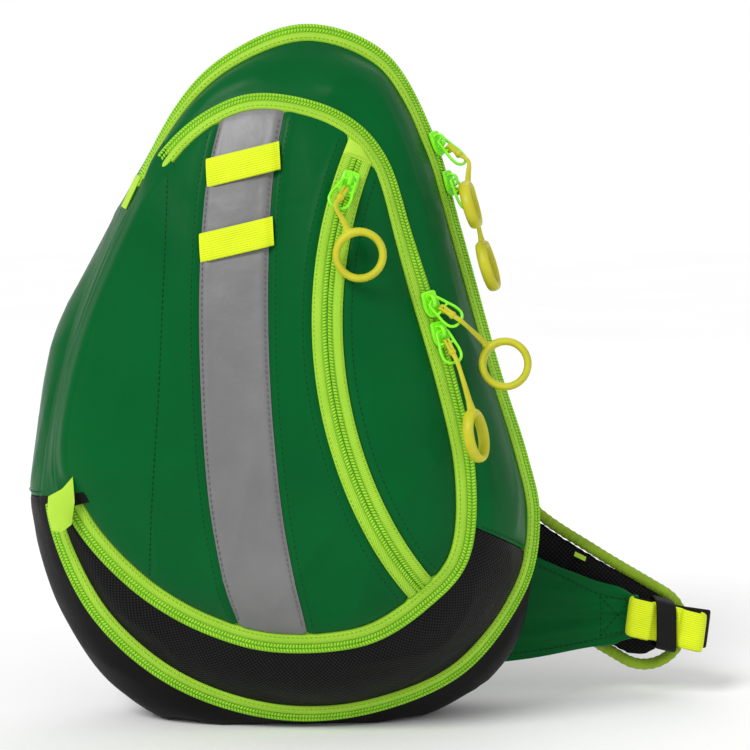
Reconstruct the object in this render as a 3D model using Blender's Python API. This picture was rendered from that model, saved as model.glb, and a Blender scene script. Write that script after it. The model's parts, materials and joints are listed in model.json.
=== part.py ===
"""Trauma backpack: a teardrop sling pack for a first responder.

It stands on its base and faces -Y, with +Z up. The pack is an assembly of sewn panels, zips, sliders,
pulls, a stiffener, pads, a hip wing and one shoulder strap. The origin is on the flat of the base.

Lengths are in millimetres and become metres in place(). The pack leans back a little, so a point is
given as x, depth and z: depth runs back from the base's middle, and place() adds the lean.
Round the pack, a point is given by its angle and its reach from the pack's long axis at AXIS_X, AXIS_Z.
"""
import math

import bmesh
import bpy
import numpy as np
from mathutils import Matrix, Vector

MM = 0.001
GAP = 0.3                   # between touching pieces
LEAN = 0.067                # the pack leans back by this much of its height
AXIS_X, AXIS_Z = 0.0, 200.0

# Front views of the four edges that shape the pack, clockwise from the top, as (x, z)
MAIN_SEAM = [(9, 466), (58, 447), (88, 395), (106, 333), (130, 245), (150, 182), (158, 140), (148, 92),
             (108, 40), (45, 14), (-20, 12), (-85, 35), (-135, 80), (-162, 140), (-163, 190),
             (-147, 265), (-113, 348), (-76, 417), (-38, 451)]
POCKET_SEAM = [(-22, 419), (24, 408), (53, 380), (70, 326), (95, 239), (107, 180), (104, 128), (80, 97),
               (41, 72), (-14, 66), (-58, 76), (-98, 97), (-132, 128), (-152, 160), (-158, 198),
               (-143, 265), (-110, 342), (-86, 383), (-56, 409)]
REAR_BULGE = [(5, 450), (50, 434), (78, 385), (98, 325), (123, 245), (144, 185), (158, 140), (158, 92),
              (146, 46), (112, 12), (60, -6), (-10, -10), (-75, -6), (-125, 22), (-165, 78),
              (-181, 140), (-179, 190), (-163, 262), (-124, 342), (-82, 408), (-38, 441)]

# Depths of the layers
MAIN_ZIP_DEPTH = -30.0      # plane where the main door parts from the bag
BACK_DEPTH = 42.0           # front face of the back panel
BACK_THICK = 3.0
SHEET_DEPTH = 37.0
POCKET_DEPTH_LEFT = -42.0   # plane where the front lid parts from the door, at x = POCKET_LEFT_X
POCKET_DEPTH_SLOPE = -0.16
POCKET_LEFT_X = -165.0
LID_BULGE = 31.0
LID_RISE = 4.4              # the lid's edge stands this far in front of its parting plane

# Cloth and zips
CLOTH = 2.2
CHAIN_HALF = 3.5            # half the width of a closed chain
BINDING_WIDE = 7.0
ZIP_INNER = CHAIN_HALF + BINDING_WIDE + GAP
ZIP_OUTER = CHAIN_HALF + GAP
ZIP_END = -164.0            # both long zips end here, at the lower left
MAIN_ZIP_START = 123.0
POCKET_ZIP_START = 116.0
COLOUR_RIGHT, COLOUR_LEFT = -27.0, -166.0   # the green meets the black here
POCKET_FACE = (0.92, 0.38)  # reach and depth along the pocket zip's face

# The quick zip is one arc on the front lid
QUICK_X, QUICK_Z, QUICK_R = 295.0, 278.0, 278.0
QUICK_HALF = 10.0
QUICK_TOP = 382.0

STATION_STEP = 28.0         # between sections, along the main seam


def place(x, depth, z):
    """A point of the pack in metres."""
    return Vector((x * MM, (depth + LEAN * z) * MM, z * MM))


def spline(points, count, closed):
    """count points, evenly spread along a smooth curve through the given points."""
    pts = np.array(points, dtype=float)
    if closed:
        ring = np.vstack([pts[-1], pts, pts[0], pts[1]])
    else:
        ring = np.vstack([2 * pts[0] - pts[1], pts, 2 * pts[-1] - pts[-2]])
    dense = []
    for i in range(len(ring) - 3):
        a, b, c, d = ring[i:i + 4]
        for t in np.linspace(0, 1, 24, endpoint=False):
            dense.append(0.5 * (2 * b + (c - a) * t + (2 * a - 5 * b + 4 * c - d) * t * t
                                + (3 * b - a - 3 * c + d) * t ** 3))
    dense.append(ring[-2])
    dense = np.array(dense)
    length = np.concatenate([[0], np.cumsum(np.linalg.norm(np.diff(dense, axis=0), axis=1))])
    stops = np.linspace(0, length[-1], count, endpoint=not closed)
    return np.stack([np.interp(stops, length, dense[:, k]) for k in range(pts.shape[1])], axis=1)


class Seam:
    """A closed front-view edge, read as a reach from the pack's axis at an angle in degrees."""

    def __init__(self, ring):
        angle = np.degrees(np.arctan2(ring[:, 1] - AXIS_Z, ring[:, 0] - AXIS_X))
        order = np.argsort(angle)
        self.angle = angle[order]
        self.reach_at = np.hypot(ring[:, 0] - AXIS_X, ring[:, 1] - AXIS_Z)[order]

    def reach(self, angle):
        return float(np.interp(angle, self.angle, self.reach_at, period=360))


MAIN = Seam(spline(MAIN_SEAM, 480, True))
POCKET = Seam(spline(POCKET_SEAM, 480, True))
BULGE = Seam(spline(REAR_BULGE, 480, True))


def polar(angle, reach, depth):
    """The pack point at an angle and reach from the pack's axis."""
    a = math.radians(angle)
    return np.array([AXIS_X + reach * math.cos(a), depth, AXIS_Z + reach * math.sin(a)])


def fill(start, end):
    """Angles from start clockwise to end, about evenly spread along the main seam."""
    fine = np.linspace(start, end, 240)
    pts = np.array([polar(a, MAIN.reach(a), 0) for a in fine])
    length = np.concatenate([[0], np.cumsum(np.linalg.norm(np.diff(pts, axis=0), axis=1))])
    count = max(1, round(length[-1] / STATION_STEP))
    return [float(a) for a in np.interp(np.linspace(0, length[-1], count + 1), length, fine)[:-1]]


def ring_angles():
    """The angles of every section round the pack, clockwise from the upper colour's start."""
    stops = [360 + COLOUR_LEFT, MAIN_ZIP_START, POCKET_ZIP_START, COLOUR_RIGHT, ZIP_END, COLOUR_LEFT]
    return [a for near, far in zip(stops, stops[1:]) for a in fill(near, far)]


RING = ring_angles()
SPLIT = 0.12                # half the turn between the green and the black


def span(start, end):
    """The section angles from start clockwise to end, with both of these."""
    return [start] + [a for a in RING if start - 0.3 > a > end + 0.3] + [end]


UPPER = span(360 + COLOUR_LEFT - SPLIT, COLOUR_RIGHT + SPLIT)
BASE = span(COLOUR_RIGHT - SPLIT, COLOUR_LEFT + SPLIT)


def ease(t):
    t = min(max(t, 0.0), 1.0)
    return t * t * (3 - 2 * t)


def zip_share(angle, start):
    """1 where the zip runs and 0 along the hinge side, with a short ramp between."""
    turn = (start - angle) % 360
    whole = start - ZIP_END
    if turn <= whole:
        return 1.0
    return 1.0 - ease(min(turn - whole, 360 - turn) / 8.0)


def pocket_plane(x):
    return POCKET_DEPTH_LEFT + POCKET_DEPTH_SLOPE * (x - POCKET_LEFT_X)


def main_point(angle):
    """The middle of the main zip's chain."""
    return polar(angle, MAIN.reach(angle) + 2.0, MAIN_ZIP_DEPTH)


def pocket_point(angle):
    """The middle of the front pocket zip's chain."""
    point = polar(angle, POCKET.reach(angle) + 3.0 * zip_share(angle, POCKET_ZIP_START), 0.0)
    point[1] = pocket_plane(point[0])
    return point


def unit(v):
    return v / np.linalg.norm(v)


class Frame:
    """A spot on a zip, with the ways along it clockwise, across its face and out of it."""

    def __init__(self, point, angle, hint):
        self.point = point(angle)
        self.along = unit(point(angle - 0.7) - point(angle + 0.7))
        across = hint if hint is not None else self.level() * POCKET_FACE[0] + (0, POCKET_FACE[1], 0)
        self.face = unit(across - self.along * np.dot(across, self.along))
        self.out = np.cross(self.along, self.face)

    def level(self):
        return np.array([-self.along[2], 0.0, self.along[0]])

    def at(self, across, lift=0.0):
        return self.point + self.face * across + self.out * lift


def main_frame(angle):
    return Frame(main_point, angle, main_point(angle) - pocket_point(angle))


def pocket_frame(angle):
    return Frame(pocket_point, angle, None)


def slab(frame, near, far, over, under):
    """Four section points from near to far across a zip's face, over it and under it."""
    return [frame.at(near, over), frame.at(far, over), frame.at(far, -under), frame.at(near, -under)]


def wall(line, inward):
    """A section with the line as its outer side, and an inner side moved in at each point."""
    return [np.array(p) for p in line] + [np.array(p) + q for p, q in zip(line[::-1], inward[::-1])]


# ---------------------------------------------------------------- meshes

def material(name, colour, roughness=0.5, metallic=0.0):
    mat = bpy.data.materials.get(name)
    if mat is None:
        mat = bpy.data.materials.new(name)
        mat.use_nodes = True
        shader = mat.node_tree.nodes["Principled BSDF"]
        shader.inputs["Base Color"].default_value = (*colour, 1.0)
        shader.inputs["Roughness"].default_value = roughness
        shader.inputs["Metallic"].default_value = metallic
    return mat


def node(name, bm, mat, smooth=True):
    """An object from a bmesh, with its faces turned out."""
    bmesh.ops.recalc_face_normals(bm, faces=bm.faces)
    if bm.calc_volume(signed=True) < 0:
        bmesh.ops.reverse_faces(bm, faces=bm.faces)
    mesh = bpy.data.meshes.new(name)
    bm.to_mesh(mesh)
    bm.free()
    mesh.materials.append(mat)
    if smooth:
        mesh.shade_smooth()
        mesh.set_sharp_from_angle(angle=math.radians(40))
    obj = bpy.data.objects.new(name, mesh)
    bpy.context.scene.collection.objects.link(obj)
    return obj


def loft(rings, closed=False, bm=None):
    """A solid through rings of points; an open one has its two ends closed."""
    bm = bm or bmesh.new()
    rows = [[bm.verts.new(p) for p in ring] for ring in rings]
    count = len(rows[0])
    for i in range(len(rows) if closed else len(rows) - 1):
        a, b = rows[i], rows[(i + 1) % len(rows)]
        for k in range(count):
            bm.faces.new((a[k], a[(k + 1) % count], b[(k + 1) % count], b[k]))
    if not closed:
        bm.faces.new(rows[0])
        bm.faces.new(rows[-1][::-1])
    return bm


def band(name, stops, section, mat):
    """A piece that runs round the pack, from its section at each angle, no lower than the base."""
    rings = [[place(p[0], p[1], max(p[2], 0.0)) for p in section(a)] for a in stops]
    return node(name, loft(rings), mat)


def plate(name, edge, front, thickness, mat):
    """A sheet with an edge in x and z, whose front face has a depth given by a function of x."""
    rings = [[place(x, front(x) + t, z) for x, z in edge] for t in (0.0, thickness)]
    return node(name, loft(rings), mat)


def ribbon(name, path, across, wide, thickness, mat):
    """A flat strap along a path; across(i) is the unit vector of its width at each point."""
    rings = []
    for i, p in enumerate(path):
        p = Vector(p)
        run = (Vector(path[min(i + 1, len(path) - 1)]) - Vector(path[max(i - 1, 0)])).normalized()
        side = Vector(across(i)).normalized()
        up = run.cross(side).normalized()
        half, t = side * wide / 2, up * thickness / 2
        rings.append([place(*(p + half + t)), place(*(p - half + t)),
                      place(*(p - half - t)), place(*(p + half - t))])
    return node(name, loft(rings), mat)


def tube(path, radius, sides=6, closed=False, bm=None):
    """A round bar along a path of world points, with a radius for each point or for all."""
    pts = [Vector(p) for p in path]
    count = len(pts)
    radii = radius if isinstance(radius, list) else [radius] * count
    rings, frame = [], None
    for i, p in enumerate(pts):
        ahead = pts[(i + 1) % count] if closed or i < count - 1 else p
        behind = pts[i - 1] if closed or i > 0 else p
        run = (ahead - behind).normalized()
        if frame is None:
            frame = run.orthogonal().normalized()
        frame = (frame - run * frame.dot(run)).normalized()
        other = run.cross(frame)
        turn = [2 * math.pi * k / sides for k in range(sides)]
        rings.append([p + (frame * math.cos(t) + other * math.sin(t)) * radii[i] for t in turn])
    return loft(rings, closed, bm)


def combine(obj, other, operation):
    """Applies a Boolean of other to obj, and removes other."""
    cut = obj.modifiers.new("combine", "BOOLEAN")
    cut.operation = operation
    cut.object = other
    cut.solver = "EXACT"
    seen = obj.evaluated_get(bpy.context.evaluated_depsgraph_get())
    mesh = bpy.data.meshes.new_from_object(seen)
    obj.modifiers.clear()
    old, obj.data = obj.data, mesh
    bpy.data.meshes.remove(old)
    bpy.data.objects.remove(other)
    return obj


# ---------------------------------------------------------------- materials

GREEN = material("coated_green", (0.0, 0.13, 0.026), 0.35)
BLACK = material("ballistic_black", (0.012, 0.012, 0.012), 0.7)
LINING = material("lining_grey", (0.2, 0.21, 0.22), 0.8)
LIME = material("lime_binding", (0.33, 0.69, 0.045), 0.7)
CHAIN = material("lime_chain", (0.23, 0.66, 0.03), 0.5)
SLIDER = material("slider_lime", (0.21, 0.91, 0.01), 0.35, 0.1)
SILICONE = material("silicone_olive", (0.54, 0.54, 0.03), 0.5)
YELLOW = material("webbing_yellow", (0.77, 0.91, 0.012), 0.7)
GREY = material("reflective_grey", (0.21, 0.21, 0.21), 0.45, 0.3)
PALE = material("patch_pale_lime", (0.52, 0.91, 0.1), 0.6)
MESH = material("spacer_mesh_black", (0.01, 0.01, 0.01), 0.9)
SHEET = material("stiffener_white", (0.7, 0.7, 0.68), 0.5)
PLASTIC = material("buckle_black", (0.015, 0.015, 0.015), 0.4)


# ---------------------------------------------------------------- bag behind the main zip

def back_reach(angle):
    return BULGE.reach(angle) - 8.0


def floor_reach(angle, reach):
    """The reach, cut short where it would go under the base."""
    down = -math.sin(math.radians(angle))
    return min(reach, AXIS_Z / down) if down > 0.01 else reach


def rear_gusset(angle):
    """Section of the bag's side wall, from the main zip to the back panel."""
    frame = main_frame(angle)
    start = frame.at(ZIP_OUTER * zip_share(angle, MAIN_ZIP_START)) + (0.0, 0.6, 0.0)
    full = BULGE.reach(angle)
    near = 0.4 * math.hypot(start[0] - AXIS_X, start[2] - AXIS_Z) + 0.6 * full
    steps = [(near, -16.0), (full, 2.0), (full, 26.0), (back_reach(angle) - 1.0, BACK_DEPTH - GAP)]
    line = [start] + [polar(angle, floor_reach(angle, r), d) for r, d in steps]
    inner = polar(angle, -CLOTH, 0.0) - polar(angle, 0.0, 0.0)
    return wall(line, [frame.out * -CLOTH] + [inner] * len(steps))


def back_edge(inset, every=1):
    """The back panel's edge in x and z, moved in."""
    pts = [polar(a, floor_reach(a, back_reach(a)) - inset, 0) for a in RING[::every]]
    return [(p[0], p[2]) for p in pts]


def back_pad(name, low, high):
    """A raised foam pad across the back panel between two heights."""
    edge = np.array(spline(back_edge(26), 120, True))
    inside = edge[(edge[:, 1] > low) & (edge[:, 1] < high)]
    right = inside[inside[:, 0] > 0]
    left = inside[inside[:, 0] < 0]
    rows = np.linspace(low, high, 5)
    out = [(float(np.interp(z, np.sort(right[:, 1]), right[np.argsort(right[:, 1]), 0])), z) for z in rows]
    back = [(float(np.interp(z, np.sort(left[:, 1]), left[np.argsort(left[:, 1]), 0])), z) for z in rows]
    outline = [(min(x, 88.0), z) for x, z in out] + [(max(x, -110.0), z) for x, z in back[::-1]]
    middle = np.mean(outline, axis=0)
    rings = []
    for depth, shrink in ((GAP, 1.0), (6.0, 1.0), (9.0, 0.9)):
        rings.append([place(*(middle[0] + (x - middle[0]) * shrink, BACK_DEPTH + BACK_THICK + depth,
                              middle[1] + (z - middle[1]) * shrink)) for x, z in outline])
    return node(name, loft(rings), MESH)


def build_bag():
    band("rear_gusset_upper", UPPER, rear_gusset, GREEN)
    band("rear_gusset_base", BASE, rear_gusset, BLACK)
    plate("back_panel", back_edge(0), lambda x: BACK_DEPTH, BACK_THICK, BLACK)
    plate("frame_sheet", back_edge(16, 2), lambda x: SHEET_DEPTH, 1.6, SHEET)
    plate("back_liner", back_edge(13, 2), lambda x: SHEET_DEPTH - 2.0, 1.2, LINING)
    pocket = [(-95, 60), (-112, 110), (-108, 190), (80, 190), (100, 110), (88, 60)]
    plate("inner_slip_pocket", pocket, lambda x: SHEET_DEPTH - 5.0, 1.2, LINING)
    loops = spline([(-70, 300), (60, 300)], 9, False)
    path = [(x, SHEET_DEPTH - 4.6 - 4.0 * abs(math.sin(math.pi * i / 4)), z)
            for i, (x, z) in enumerate(loops)]
    ribbon("inner_elastic_loops", path, lambda i: (0, 0, 1), 38.0, 1.2, BLACK)
    back_pad("lumbar_pad", 30, 110)
    back_pad("mid_back_pad", 122, 240)
    back_pad("upper_back_pad", 252, 375)


# ---------------------------------------------------------------- long zips

def zip_parts(start, frame, names):
    """The binding and the two chain halves of a long zip, from the pack's middle outwards."""
    rows = [(-CHAIN_HALF - BINDING_WIDE, -CHAIN_HALF - GAP, 0.9, LIME),
            (-CHAIN_HALF, -GAP / 2, 1.3, CHAIN),
            (GAP / 2, CHAIN_HALF, 1.3, CHAIN)]
    for name, (near, far, over, mat) in zip(names, rows):
        def section(a, near=near, far=far, over=over):
            return slab(frame(a), near, far, over, 1.0)
        band(name, span(start, ZIP_END), section, mat)


def build_zips():
    zip_parts(MAIN_ZIP_START, main_frame, ("main_zip_binding", "main_zip_door_half", "main_zip_bag_half"))
    zip_parts(POCKET_ZIP_START, pocket_frame,
              ("front_zip_binding", "front_zip_lid_half", "front_zip_door_half"))


# ---------------------------------------------------------------- main door

def door_gusset(angle):
    """Section of the door's side wall, from the front pocket zip to the main zip."""
    inner, outer = pocket_frame(angle), main_frame(angle)
    share = zip_share(angle, POCKET_ZIP_START)
    near = inner.at(ZIP_OUTER * share + 0.4 * (1 - share)) + (0.0, 0.8 * (1 - share), 0.0)
    share = zip_share(angle, MAIN_ZIP_START)
    far = outer.at(-ZIP_INNER * share - 0.8 * (1 - share))
    long = np.linalg.norm(far - near)
    out = unit(inner.out + outer.out)
    cloth = min(CLOTH, 0.3 * long)
    return wall([near, (near + far) / 2 + out * 0.1 * long, far],
                [inner.out * -cloth, out * -cloth, outer.out * -cloth])


def build_door():
    band("door_gusset_upper", UPPER, door_gusset, GREEN)
    band("door_gusset_base", BASE, door_gusset, BLACK)
    edge = [polar(a, POCKET.reach(a) - 3.0, 0) for a in RING]
    plate("bulkhead_panel", [(p[0], p[2]) for p in edge], lambda x: pocket_plane(x) + 5.0, 1.6, LINING)


# ---------------------------------------------------------------- front lid

def lid_edge_point(angle):
    share = zip_share(angle, POCKET_ZIP_START)
    return pocket_frame(angle).at(-(ZIP_INNER + 3 * GAP) * share - 0.6 * (1 - share))[[0, 2]]


LID = Seam(np.array([lid_edge_point(a) for a in np.arange(-180.0, 180.0, 2.0)]))


def lid_point(angle, part, lift=0.0):
    """A place on the lid's dome, part of the way from its middle to its edge."""
    x, _, z = polar(angle, LID.reach(angle) * part, 0.0)
    depth = pocket_plane(x) - LID_RISE - LID_BULGE * (1 - part ** 2.5) ** 0.75
    return x, depth - lift, z


def lid_depth(x, z):
    """Depth of the lid's outer face at x and z."""
    angle = math.degrees(math.atan2(z - AXIS_Z, x - AXIS_X))
    part = min(math.hypot(x - AXIS_X, z - AXIS_Z) / LID.reach(angle), 1.0)
    return lid_point(angle, part)[1]


def lid_shell(name, lift, thickness, mat, rim=1.0):
    """The lid's dome as one closed sheet."""
    parts = [p * rim for p in (1.0, 0.9, 0.74, 0.5, 0.24)]
    rings = [[place(*lid_point(a, p, lift)) for a in RING] for p in parts[::-1]]
    rings += [[place(*lid_point(a, p, lift - thickness)) for a in RING] for p in parts]
    return node(name, loft(rings), mat)


def prism(left, right):
    """A cutter from front to back between two edges that each run from the top down, as (x, z)."""
    outline = list(left) + list(right)[::-1]
    rings = [[place(x, d, z) for x, z in outline] for d in (-150.0, 0.0)]
    return node("cutter", loft(rings), LIME, smooth=False)


def quick_turns():
    """Angles down the quick zip's arc, with two at the top end of its teeth."""
    def turn(z):
        return math.pi - math.asin((z - QUICK_Z) / QUICK_R)
    cut = turn(QUICK_TOP)
    return [turn(440), turn(412), cut - GAP / QUICK_R, cut] + list(np.linspace(cut, turn(40), 12)[1:])


def quick_arc(radius, first=0, last=99):
    """Points down an arc that shares the quick zip's centre."""
    return [(QUICK_X + radius * math.cos(a), QUICK_Z + radius * math.sin(a))
            for a in quick_turns()[first:last]]


def shifted(points, dx):
    return [(x + dx, z) for x, z in points]


def lid_panel(name, left, right, mat, lift=0.0, thickness=CLOTH):
    obj = lid_shell(name, lift, thickness, mat)
    combine(obj, prism(left, right), "INTERSECT")
    return obj


def build_lid():
    strip_left = spline([(-46, 430), (-61, 360), (-65, 260), (-58, 150), (-34, 50)], 8, False)
    strip_right = spline([(-6, 430), (-18, 360), (-20, 260), (-11, 150), (9, 50)], 8, False)
    h = GAP / 2
    far_left = [(-220, 430), (-220, 50)]
    far_right = [(200, 440), (200, 40)]
    lid_panel("lid_left_panel", far_left, shifted(strip_left, -h), GREEN)
    lid_panel("reflective_strip", shifted(strip_left, h), shifted(strip_right, -h), GREY)
    lid_panel("lid_centre_panel", shifted(strip_right, h), quick_arc(QUICK_R + QUICK_HALF + h), GREEN)
    lid_panel("lid_right_panel", quick_arc(QUICK_R - QUICK_HALF - h), far_right, GREEN)
    lid_panel("quick_zip_left_half", quick_arc(QUICK_R + QUICK_HALF - h, 3), quick_arc(QUICK_R + h, 3), LIME)
    lid_panel("quick_zip_right_half", quick_arc(QUICK_R - h, 3), quick_arc(QUICK_R - QUICK_HALF + h, 3), LIME)
    lid_panel("garage_patch", quick_arc(QUICK_R + QUICK_HALF - h, 0, 3),
              quick_arc(QUICK_R - QUICK_HALF + h, 0, 3), PALE)
    bag = lid_shell("quick_pocket_bag", -5.0, 1.2, LINING, 0.93)
    combine(bag, prism([(-12, 362), (-14, 240), (-8, 120)], [(60, 350), (84, 240), (84, 120)]), "INTERSECT")
    for number, high in (("upper", 379.0), ("lower", 331.0)):
        xs = np.linspace(-61.5, -14.5, 6)
        shift = -2.5 if number == "lower" else 2.0
        rise = [high - 5.75 + 11.5 * i / 5 for i in range(6)]
        path = [(x + shift, lid_depth(x + shift, z) - 2.6, z) for x, z in zip(xs, rise)]
        slope = [(lid_depth(x, z + 9) - lid_depth(x, z - 9)) / 18 for x, _, z in path]
        ribbon(f"webbing_loop_{number}", path, lambda i: (-0.05, slope[i], 1), 18.5, 1.6, YELLOW)
    tab = [(-164, 162), (-151, 174), (-149, 141), (-160, 137)]
    plate("lower_zip_tab", tab, lambda x: -52.0 - 0.25 * (x + 160), 1.4, PALE)
    band("upper_zip_tab", (127.5, 124.5, 121.5), lambda a: slab(main_frame(a), -8.0, 2.0, 3.0, -1.8), PALE)


# ---------------------------------------------------------------- sliders and pulls

class Track:
    """Where a slider sits: its place, the way down along the chain and the way out of the cloth."""

    def __init__(self, spot, ahead, behind, out):
        self.spot = spot
        self.along = (ahead - behind).normalized()
        self.out = (out - self.along * out.dot(self.along)).normalized()
        self.across = self.along.cross(self.out).normalized()

    def turn(self):
        return Matrix((self.across, self.along, self.out)).transposed().to_4x4()

    def way(self, yaw, tilt):
        """A direction down the chain, turned sideways by yaw and lifted off it by tilt, in degrees."""
        y, t = math.radians(yaw), math.radians(tilt)
        flat = self.along * math.cos(y) - self.across * math.sin(y)
        return flat * math.cos(t) + self.out * math.sin(t)


def seam_track(angle, frame):
    """A slider's seat on a long zip, on the pack's right side."""
    spot, lifted = (place(*frame(angle).at(0.0, lift)) for lift in (0.0, 1.0))
    return Track(spot, place(*frame(angle - 2).point), place(*frame(angle + 2).point), lifted - spot)


def quick_track(z):
    """The slider's seat on the quick zip."""
    def at(height, aside=0.0):
        x = QUICK_X - math.sqrt(QUICK_R ** 2 - (height - QUICK_Z) ** 2) + aside
        return place(x, lid_depth(x, height), height)
    side = at(z, 6.0) - at(z, -6.0)
    return Track(at(z), at(z - 8), at(z + 8), (at(z - 8) - at(z + 8)).cross(side))


BAIL_LIFT = 6.4             # the pull turns about a line this far off the chain
BAIL_BACK = 1.2             # and this far up it from the slider's middle
LOOP_LONG = 22.0
BAR_AT = 8.2                # the puller's cord wraps a bar this far along the pull
WIRE = 0.9


def slider_body(name, track):
    """A slider's crown with the bail that holds the pull."""
    shape = [(-5.0, -8.0), (-5.6, 0.0), (-4.6, 7.5), (-1.6, 9.0), (1.6, 9.0), (4.6, 7.5), (5.6, 0.0), (5.0, -8.0)]
    rings = [[Vector((x * s, y * s, z)) * MM for x, y in shape]
             for z, s in ((2.0, 1.0), (3.4, 1.0), (4.0, 0.86))]
    obj = node(name, loft(rings), SLIDER)
    outer = [(-6.5, 3.2), (-5.2, 7.6), (-1.5, 9.2), (2.4, 8.2), (3.8, 3.2)]
    inner = [(-4.6, 3.2), (-3.8, 6.9), (-1.2, 7.8), (1.3, 7.0), (1.9, 3.2)]
    legs = [[Vector((x, *yz)) * MM for x, yz in ((-1.3, over), (1.3, over), (1.3, under), (-1.3, under))]
            for over, under in zip(outer, inner)]
    combine(obj, node("bail", loft(legs), SLIDER, smooth=False), "UNION")
    obj.data.transform(Matrix.Translation(track.spot) @ track.turn())
    return obj


class Pull:
    """The wire loop in a slider's bail, with the bar that the silicone puller wraps."""

    def __init__(self, name, track, yaw, tilt):
        self.hinge = track.spot + (track.out * BAIL_LIFT - track.along * BAIL_BACK) * MM
        self.way = track.way(yaw, tilt)
        self.axis = self.way.cross(track.out).normalized()
        self.front = self.axis.cross(self.way)
        self.bar = self.at(0.0, BAR_AT)
        outline = [(3.4, 0.0), (4.6, 3.0), (6.4, 13.0), (5.6, 18.5), (2.4, 21.6)]
        outline += [(-x, y) for x, y in outline[::-1]]
        loop = node(f"{name}_pull_loop", tube([self.at(x, y) for x, y in outline], WIRE * MM, 6, closed=True),
                    SLIDER)
        ends = [self.at(-5.2, BAR_AT), self.at(5.2, BAR_AT)]
        combine(loop, node("bar", tube(ends, WIRE * MM, 6), SLIDER), "UNION")

    def at(self, aside, along, lift=0.0):
        return self.hinge + (self.axis * aside + self.way * along + self.front * lift) * MM


def ring_puller(name, pull, neck, middle, normal, squeeze):
    """A silicone puller: an eye round the pull's bar, a neck and a finger ring."""
    first = (neck[0] - pull.bar).normalized()
    lift = first.cross(pull.axis).normalized()
    eye = [pull.bar + (first * math.cos(t) + lift * math.sin(t)) * 2.1 * MM
           for t in np.linspace(0, 2 * math.pi, 10, endpoint=False)]
    obj = node(f"{name}_ring_pull", tube(eye, 0.8 * MM, 6, closed=True), SILICONE)
    toward = (neck[-1] - middle)
    toward = (toward - normal * toward.dot(normal)).normalized()
    side = normal.cross(toward).normalized()
    ring = [middle + (toward * math.cos(t) + side * math.sin(t) * squeeze) * 14.3 * MM
            for t in np.linspace(0, 2 * math.pi, 20, endpoint=False)]
    combine(obj, node("ring", tube(ring, 2.7 * MM, 6, closed=True), SILICONE), "UNION")
    path = [pull.bar + first * 2.0 * MM] + list(neck) + [middle + toward * 14.5 * MM]
    combine(obj, node("neck", tube(path, [1.3 * MM] * (len(path) - 1) + [2.2 * MM], 6), SILICONE), "UNION")


def hang(name, track, yaw, tilt, ring_at, normal, squeeze):
    """One slider with its wire pull and its ring, both in the places where they rest."""
    slider_body(f"{name}_slider", track)
    pull = Pull(name, track, yaw, tilt)
    neck = [pull.at(0.0, BAR_AT + 7.0, 2.2), pull.at(0.0, LOOP_LONG + 1.5, 3.4)]
    ring_puller(name, pull, neck, place(*ring_at), Vector(normal).normalized(), squeeze)


def slider_seats():
    """Each slider's seat, its pull's yaw and tilt, and its ring's middle, facing and squeeze."""
    quick_ring = (37.5, lid_depth(37.5, 322) - 12.0, 322)
    return {
        "main_zip_upper": (seam_track(64.5, main_frame), 12, 22, (113, -60, 352), (0.9, -0.2, 0.3), 0.8),
        "main_zip_lower": (seam_track(59.0, main_frame), 0, 14, (126, -46, 311), (0.9, -0.25, 0.3), 0.8),
        "front_zip_upper": (seam_track(46.5, pocket_frame), 32, 14, (134, -76, 249), (-0.15, -1.0, 0.1), 1.0),
        "front_zip_lower": (seam_track(37.5, pocket_frame), 0, 14, (112, -105, 206), (0.85, -0.45, 0.2), 0.8),
        "quick_zip": (quick_track(366.0), -10, 14, quick_ring, (0.0, -1.0, 0.0), 1.0),
    }


def build_sliders():
    for name, seat in slider_seats().items():
        hang(name, *seat)


# ---------------------------------------------------------------- wing, strap and webbing

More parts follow.
